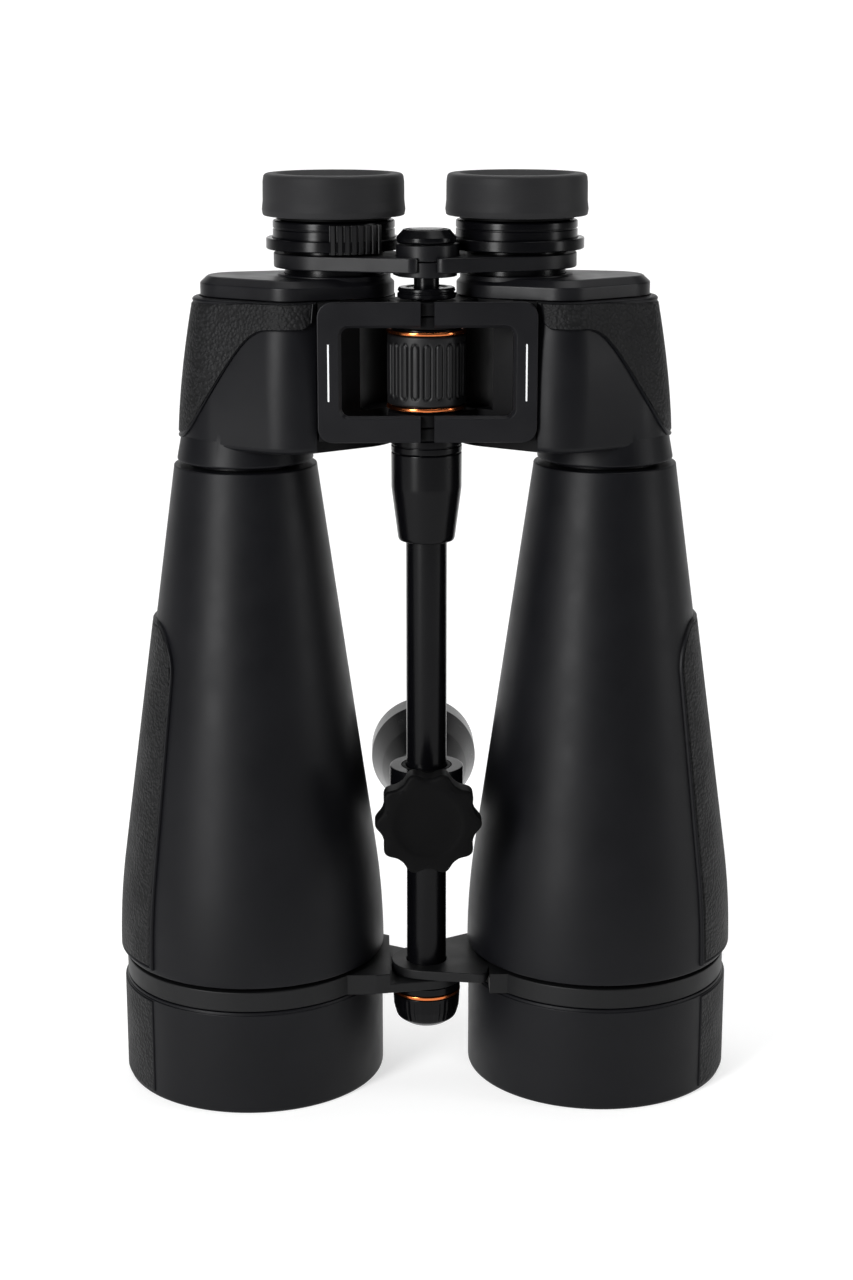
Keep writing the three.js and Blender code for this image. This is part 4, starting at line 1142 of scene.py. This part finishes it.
def eyecup():
    radius = (cupHigh[0] - cupLow[0]) / 2 - 0.25
    clear = (guideHigh[0] - guideLow[0]) / 2 + 0.3
    mouth = halfWidth("left_eye_lens") + 2.4
    low, high = cupLow[2], cupHigh[2]
    return turned("left_cup_rubber", [
        (clear, low, 0.3), (radius - 0.1, low, 0.7), (radius + 0.22, low + 2.0, 1.5),
        (radius - 0.1, low + 5, 2), (radius - 0.15, high - 3, 2),
        (radius - 0.5, high - 0.1, cupLook["shoulder"]), (radius - 4.5, high + 0.02, 1.0),
        (mouth + 2.2, high - 0.5, 1.0), (mouth, high - 2.2, 1.2),
        (mouth, guideHigh[2] + 1.4, 0.3), (clear, guideHigh[2] + 1.2, 0.2),
    ], eye, sides=176, steps=7)


bothSides(eyecup(), "eyecupRubber", "eyecup", "eyecup_rubber")


def eyecupGuide():
    outer = (guideHigh[0] - guideLow[0]) / 2
    inner = outer - 1.3
    low, high = guideLow[2], guideHigh[2]
    return turned("left_guide", [
        (inner, low, 0.2), (outer, low, 0.3), (outer, high - 2, 0.2), (outer - 0.4, high - 1.7, 0.2),
        (outer - 0.4, high, 0.3), (inner, high, 0.2)], eye, sides=112)


bothSides(eyecupGuide(), "knobPlastic", "eyecup_guide", "knob_plastic")
print("eyepieces made")


# hinge, focus drive and rod, all turned round the hinge's axis

def onHinge(name, points, look, node, slotName, sides=112):
    piece = turned(name, points, hinge, sides=sides)
    fitted(piece, look, node, slotName)


axleLow, axleHigh = boxOf("hinge_axle")
axleLook = {"radius": 5.5, "bore": 3.4, "floor": 8}
r, bore, low, high = axleLook["radius"], axleLook["bore"], axleLow[2], axleHigh[2]
onHinge("axle", [(0, low), (r, low, 0.4), (r, high, 0.4), (bore, high, 0.3), (bore, low + axleLook["floor"]),
                 (0, low + axleLook["floor"])], "bareSteel", "hinge_axle", "bare_steel", 64)
spindleLow, spindleHigh = boxOf("focus_spindle")
spindleStep = boxOf("hinge_collar")[1][2] - 1.5
spindleLook = {"thin": 3.1, "thick": 4.25}
thin, thick = spindleLook["thin"], spindleLook["thick"]
onHinge("spindle", [(0, spindleLow[2]), (thin, spindleLow[2], 0.4), (thin, spindleStep),
                    (thick, spindleStep, 0.2), (thick, spindleHigh[2], 0.3), (0, spindleHigh[2])],
        "blackAnodised", "focus_spindle", "bare_steel", 64)
collarLow, collarHigh = boxOf("hinge_collar")
collarRadius = halfWidth("hinge_collar")
collarLook = {"bore": 4.55, "groove": 0.5, "dish": 7.2}
r, low, high = collarRadius, collarLow[2], collarHigh[2]
onHinge("collar", [(collarLook["bore"], low), (r, low, 0.4), (r, low + 1.5, 0.3),
                   (r - collarLook["groove"], low + 1.8, 0.15), (r - collarLook["groove"], low + 2.2, 0.15),
                   (r - 0.1, low + 2.4, 0.2), (r - 0.4, high, 0.9), (collarLook["dish"], high, 0.3),
                   (collarLook["dish"] - 0.3, high - 0.4, 0.2), (collarLook["bore"], high - 0.4, 0.2)],
        "blackAnodised", "hinge_collar", "black_anodised")
capRadius = halfWidth("spindle_cap")
r, low, high = capRadius, capLow[2], capHigh[2]
onHinge("cap", [(0, low), (r - 0.6, low, 0.3), (r, low + 0.7, 0.4), (r, low + 2.0, 0.5),
                (r - 2.2, high - 0.35, 0.4), (r - 2.6, high - 0.3, 0.2), (r - 2.9, high - 0.65, 0.2),
                (r - 3.4, high - 0.6, 0.3), (r - 4.6, high - 0.15, 2), (0, high)],
        "blackAnodised", "spindle_cap", "black_anodised", 128)

ringSocketLow, ringSocketHigh = boxOf("socket_ring")
socketLow, socketHigh = boxOf("rod_socket")
socketRadius = halfWidth("rod_socket")
r, low, high = socketRadius, ringSocketLow[2], ringSocketHigh[2]
onHinge("seat_ring", [(axleBore, low), (r, low, 0.35), (r, low + 2.0, 0.2), (r - 0.35, low + 2.15, 0.1),
                      (r - 0.35, low + 2.45, 0.1), (r, low + 2.6, 0.2), (r, high, 0.4), (axleBore, high)],
        "blackAnodised", "socket_ring", "black_anodised")
rodRadius = halfWidth("center_rod")
socketLook = {"taper": 18.3, "tipWall": 2.1}
socketTip = rodRadius + gap + socketLook["tipWall"]
shoulderZ = socketLow[2] + socketLook["taper"]
bore, low, high = rodRadius + gap, socketLow[2], socketHigh[2]
onHinge("socket", [
    (bore, low, 0.2), (socketTip, low, 0.9), (socketTip + 0.35, low + 1.2, 0.6),
    (socketRadius - 0.05, shoulderZ, 14), (socketRadius, high, 0.4), (axleBore, high, 0.2),
    (axleBore, high - 9), (bore, high - 9), (bore, low + 8),
], "blackAnodised", "rod_socket", "black_anodised", 128)
rodLow, rodHigh = boxOf("center_rod")
onHinge("rod", [(0, rodLow[2]), (rodRadius, rodLow[2], 0.5), (rodRadius, rodHigh[2], 0.5), (0, rodHigh[2])],
        "blackAnodised", "center_rod", "black_anodised", 96)

endLow, endHigh = boxOf("rod_end_cap")
accentLow, accentHigh = boxOf("cap_accent_ring")
endRadius = halfWidth("rod_end_cap")
endLook = {"facets": 36, "facetDepth": 0.16}


def rodEndCap():
    # rounded foot with fine facets below the accent ring
    path = rounded([
        (0, endLow[2]), (endRadius * 0.6, endLow[2], 3), (endRadius * 0.88, endLow[2] + 2.4, 3),
        (endRadius - 0.35, endLow[2] + 6.2, 3), (endRadius - 0.1, accentLow[2] - 1.7, 0.6),
        (endRadius - 0.1, accentLow[2] - 0.3, 0.2), (endRadius - 1.2, accentLow[2] - 0.3),
        (endRadius - 1.2, accentHigh[2] + 0.3), (endRadius, accentHigh[2] + 0.3, 0.2),
        (endRadius, endHigh[2], 0.4), (rodRadius + gap, endHigh[2], 0.2), (rodRadius + gap, rodLow[2] - 0.3),
        (0, rodLow[2] - 0.3)], closed=False, steps=6)
    sides = 216
    turn = np.linspace(0, 2 * math.pi, sides, endpoint=False)
    facet = 0.5 - 0.5 * np.cos(turn * endLook["facets"])
    verts = []
    for radius, z in path:
        faceted = endLow[2] + 2.6 < z < accentLow[2] - 1.6 and radius > endRadius * 0.8
        depth = endLook["facetDepth"] if faceted else 0.0
        verts.append(ringAt(hinge, radius - depth * facet, turn, z))
    return meshFrom("end_cap", np.vstack(verts), tidied(verts, ringFaces(len(path), sides, False)))


fitted(rodEndCap(), "blackAnodised", "rod_end_cap", "black_anodised")
onHinge("end_accent", [(endRadius - 0.9, accentLow[2], 0.1), (endRadius + 0.1, accentLow[2], 0.35),
                       (endRadius + 0.1, accentHigh[2], 0.35), (endRadius - 0.9, accentHigh[2], 0.1)],
        "copperAnodised", "cap_accent_ring", "copper_accent", 128)

wheelRadius = halfWidth("focus_grip")
coreRadius = halfWidth("focus_wheel")
low, high = wheelLow[2], wheelHigh[2]
onHinge("wheel_core", [(axleBore, low, 0.3), (coreRadius, low, 0.3), (coreRadius, high, 0.3), (axleBore, high, 0.3)],
        "blackAnodised", "focus_wheel", "black_anodised")
for name, node in (("wheel_accent_low", "accent_ring_lower"), ("wheel_accent_high", "accent_ring_upper")):
    low, high = boxOf(node)
    onHinge(name, [(wheelRadius - 1.2, low[2], 0.1), (wheelRadius + 0.1, low[2], 0.4),
                   (wheelRadius + 0.1, high[2], 0.4), (wheelRadius - 1.2, high[2], 0.1)],
            "copperAnodised", node, "copper_accent", 128)

gripLook = {"ribs": 20, "groove": 0.5, "margin": 2.6, "grooveWidth": 0.9, "ribWidth": 2.35, "steps": 15}


def focusGrip():
    # rubber sleeve whose ribs are long capsules outlined by a groove
    low, high = boxOf("focus_grip")
    look = gripLook
    sides, rows = look["ribs"] * look["steps"], 64
    turn = np.linspace(0, 2 * math.pi, sides, endpoint=False)
    pitch = 2 * math.pi * wheelRadius / look["ribs"]
    heights = np.linspace(low[2], high[2], rows)
    half = (high[2] - low[2]) / 2
    zMiddle = (high[2] + low[2]) / 2
    outer = []
    for z in heights:
        along = np.abs(z - zMiddle)
        x = ((turn * wheelRadius + pitch / 2) % pitch) - pitch / 2
        capsule = look["ribWidth"] / 2
        reach = half - look["margin"] - capsule
        d = np.hypot(x, max(0.0, along - reach)) - capsule  # below zero inside a rib
        dip = np.clip(1 - np.abs(d) / (look["grooveWidth"] / 2), 0, 1)
        dip = dip * dip * (3 - 2 * dip)
        rim = min(z - low[2], high[2] - z)
        roll = 0.45 * (1 - math.sqrt(max(0.0, 1 - (1 - min(1, rim / 0.6)) ** 2)))
        r = wheelRadius - 0.12 - look["groove"] * dip * (along < half - 0.8) + 0.12 * (d < -0.3) - roll
        outer.append(ringAt(hinge, r, turn, z))
    inner = wheelRadius - 1.2
    outer += [ringAt(hinge, inner, turn, z) for z in (high[2], low[2])]
    return meshFrom("wheel_grip", np.vstack(outer), ringFaces(len(outer), sides, True), 60)


fitted(focusGrip(), "wheelRubber", "focus_grip", "wheel_rubber", flatten=False)
print("hinge, wheel and rod made")


# tripod post and its clamp
postBack = boxOf("tripod_post")[1][1]
bushLow, bushHigh = boxOf("clamp_bush")
insertLow, insertHigh = boxOf("thread_insert")
screwLow, screwHigh = boxOf("clamp_screw")
knobLow, knobHigh = boxOf("clamp_knob")
postZ = (knobLow[2] + knobHigh[2]) / 2
bushRadius = halfWidth("clamp_bush")
postLook = {"neck": 9.5, "thickness": 12, "flare": 14, "collarWall": 4, "boss": 7.9, "screwHole": 4.2,
            "insertHole": 5.8}


def tripodPost():
    look = postLook
    reach = -(postBack - hinge[1])
    foot = halfWidth("tripod_post")
    collarRadius = bushRadius + gap + look["collarWall"]
    collar = turned("post_body", [(0, bushLow[2]), (collarRadius, bushLow[2], 0.8),
                                  (collarRadius, bushHigh[2], 0.8), (0, bushHigh[2])], hinge, sides=112)
    neck = turned("neck", [
        (0, reach), (foot, reach, 0.8), (foot, reach + look["thickness"], 1.6),
        (foot * 0.8, reach + look["thickness"] + look["flare"], 10), (look["neck"] + 1.6, -22, 10),
        (look["neck"], -9, 2), (look["neck"], 0), (0, 0)], hinge, sides=112, forwardAt=postZ, steps=8)
    boss = turned("boss", [(0, 0), (look["boss"], 0), (look["boss"], collarRadius + 7, 0.7),
                           (0, collarRadius + 7)], hinge, sides=72, forwardAt=postZ)
    carved(collar, neck, boss, how="UNION")
    carved(collar,
           cylinder("bore", hinge, bushRadius + gap, bushLow[2] - 1, bushHigh[2] + 1, 96),
           turned("screwHole", [(0, 0), (look["screwHole"], 0), (look["screwHole"], 40), (0, 40)],
                  hinge, sides=48, forwardAt=postZ),
           turned("insertHole", [(0, reach - 1), (look["insertHole"], reach - 1),
                                 (look["insertHole"], reach + 11), (0, reach + 11)],
                  hinge, sides=64, forwardAt=postZ))
    return collar


fitted(tripodPost(), "blackAnodised", "tripod_post", "black_anodised")
insertLook = {"bore": 3.2, "crest": 3.55, "mouth": 3.7, "radius": 5.5, "pitch": 0.65}
insertFar, insertNear = -(insertHigh[1] - hinge[1]), -(insertLow[1] - hinge[1])
insertProfile = [(insertLook["bore"], insertFar + 0.3, 0.1), (insertLook["mouth"], insertFar, 0.1),
                 (insertLook["radius"], insertFar, 0.3), (insertLook["radius"], insertNear, 0.3)]
for i in range(14):  # thread down the bore
    z = insertNear - 0.3 - i * insertLook["pitch"]
    if z > insertFar + 0.8:
        insertProfile += [(insertLook["bore"], z, 0.05), (insertLook["crest"], z - 0.32, 0.05)]
fitted(turned("thread", insertProfile, hinge, sides=72, forwardAt=postZ), "insertBrass",
       "thread_insert", "insert_brass")
fitted(turned("bush", [(rodRadius + gap, bushLow[2], 0.3), (bushRadius, bushLow[2], 0.3),
                       (bushRadius, bushHigh[2], 0.3), (rodRadius + gap, bushHigh[2], 0.3)], hinge, sides=96),
       "knobPlastic", "clamp_bush", "knob_plastic")
screwLook = {"turns": 15, "tip": 3.2, "root": 3.45, "crest": 3.9, "end": 3.5}
screwNear, screwFar = hinge[1] - screwHigh[1], hinge[1] - screwLow[1]
screwProfile = [(0, screwNear), (screwLook["tip"], screwNear, 0.4)]
turns = screwLook["turns"]
for i in range(turns):  # rolled thread
    z = screwNear + 0.8 + (screwFar - screwNear - 1.4) * i / turns
    step = (screwFar - screwNear - 1.4) / turns
    screwProfile += [(screwLook["root"], z, 0.05), (screwLook["crest"], z + step * 0.5, 0.08)]
screwProfile += [(screwLook["end"], screwFar, 0.2), (0, screwFar)]
fitted(turned("screw", screwProfile, hinge, sides=48, forwardAt=postZ, steps=2), "bareSteel",
       "clamp_screw", "bare_steel")

knobLook = {"lobes": 10, "scallop": 2.0, "sharpness": 1.35, "edge": 1.5, "dish": 0.5, "dishRadius": 11}


def clampKnob():
    look = knobLook
    near, far = hinge[1] - knobHigh[1], hinge[1] - knobLow[1]
    radius = halfWidth("clamp_knob")
    sides = 240
    turn = np.linspace(0, 2 * math.pi, sides, endpoint=False)
    lobe = ((1 + np.cos(look["lobes"] * turn)) / 2) ** look["sharpness"]
    # (share of the lobed outline, inset from it, distance in front of the hinge)
    stops = [(0.0, 0, near)]
    for a in np.linspace(0, math.pi / 2, 6):
        stops.append((1, look["edge"] * (1 - math.sin(a)), near + look["edge"] * (1 - math.cos(a))))
    for a in np.linspace(math.pi / 2, 0, 8):
        stops.append((1, look["edge"] * (1 - math.sin(a)), far - 0.35 - look["edge"] * (1 - math.cos(a))))
    verts = []
    for share, inset, reach in stops:
        r = (radius - look["scallop"] * (1 - lobe) - inset) * share
        verts.append(ringAt(hinge, r, turn, reach, postZ))
    # front face: a low crown with a shallow dished centre
    dish = far - look["dish"]
    for r, reach in ((14.6, far - 0.12), (13, far), (look["dishRadius"] + 0.4, far),
                     (look["dishRadius"] - 0.2, dish), (7, dish), (0, dish)):
        verts.append(ringAt(hinge, r, turn, reach, postZ))
    faces = tidied(verts, ringFaces(len(verts), sides, False))
    return meshFrom("knob", np.vstack(verts), faces, 40)


fitted(clampKnob(), "knobPlastic", "clamp_knob", "knob_plastic")
print("tripod post made")


# floor, backdrop, lights and camera
# painted light on the stage: glow is the emission painted round the object, rimGlow the fainter emission far away
stageLook = {"albedo": 0.45, "glow": 0.66, "rimGlow": 0.1, "poolCentre": (0, 600, 0),
             "poolRadius": (1500, 2900)}


def stageWithPaintedGlow():
    # pale paper with a painted pool of light: its emission is strongest round the object and fades to a faint glow
    # far away
    look = stageLook
    material, shader, feed, add, _ = newMaterial("stagePaintedGlow")
    reach = add("VectorMath", "Value", {0: add("NewGeometry", "Position"), 1: Vector(look["poolCentre"]) * mm},
                operation="DISTANCE")
    pool = add("MapRange", "Result", {
        "Value": reach, "From Min": look["poolRadius"][0] * mm, "From Max": look["poolRadius"][1] * mm,
        "To Min": look["glow"], "To Max": look["rimGlow"]}, interpolation_type="SMOOTHSTEP")
    # painted light: the floor and backdrop emit light in a pool round the object
    feed(shader, {"Base Color": (look["albedo"],) * 3 + (1,), "Roughness": 0.8, "Specular IOR Level": 0.1,
                  "Emission Color": (1, 1, 1, 1), "Emission Strength": pool})
    return material


def paleSweep():
    # floor that curves up into a backdrop behind the object
    path = rounded([(-3000, 0), (1700, 0, 700), (1850, 1300)], closed=False, steps=16)
    verts, faces = [], []
    for y, z in path:
        verts += [(-3500, y, z), (3500, y, z)]
    for i in range(len(path) - 1):
        faces.append((2 * i, 2 * i + 1, 2 * i + 3, 2 * i + 2))
    sweep = meshFrom("sweep", verts, faces)
    sweep.data.materials.append(stageWithPaintedGlow())


paleSweep()

world = bpy.data.worlds.new("studio")
world.use_nodes = True
world.node_tree.nodes["Background"].inputs["Color"].default_value = (0.9, 0.94, 1.0, 1)
world.node_tree.nodes["Background"].inputs["Strength"].default_value = 0.03
bpy.context.scene.world = world

lightPlan = {
    "overhead": {"from": (0.1, 0.3, 1.6), "to": (0, 0.15, 0.1), "size": (1.4, 1.0), "power": 14},
    "leftFront": {"from": (-0.86, -1.02, 0.62), "to": (0, 0, 0.15), "size": (0.34, 1.15), "power": 26},
    "rightSide": {"from": (1.3, -0.35, 0.6), "to": (0, 0, 0.17), "size": (0.25, 1.1), "power": 6},
    "backdrop": {"from": (0, 0.8, 1.6), "to": (0, 1.8, 0.3), "size": (2.2, 0.6), "power": 8},
}
for lightName, plan in lightPlan.items():
    lamp = bpy.data.lights.new(lightName, "AREA")
    lamp.shape = "RECTANGLE"
    lamp.size, lamp.size_y = plan["size"]
    lamp.energy = plan["power"]
    holder = bpy.data.objects.new(lightName, lamp)
    holder.location = plan["from"]
    holder.rotation_euler = (Vector(plan["to"]) - Vector(plan["from"])).to_track_quat("-Z", "Y").to_euler()
    bpy.context.scene.collection.objects.link(holder)

cameraLook = {"place": (-0.0180, -0.8029, 0.3635), "down": 14.273, "turn": -1.309, "lens": 65.97}
lens = bpy.data.cameras.new("camera")
lens.lens = cameraLook["lens"]
lens.sensor_width = 36
lens.clip_start, lens.clip_end = 0.01, 20
cameraObject = bpy.data.objects.new("camera", lens)
cameraObject.location = cameraLook["place"]
cameraObject.rotation_euler = (math.radians(90 - cameraLook["down"]), 0, math.radians(cameraLook["turn"]))
bpy.context.scene.collection.objects.link(cameraObject)
bpy.context.scene.camera = cameraObject
bpy.context.scene.view_settings.view_transform = "Standard"
print("stage made")
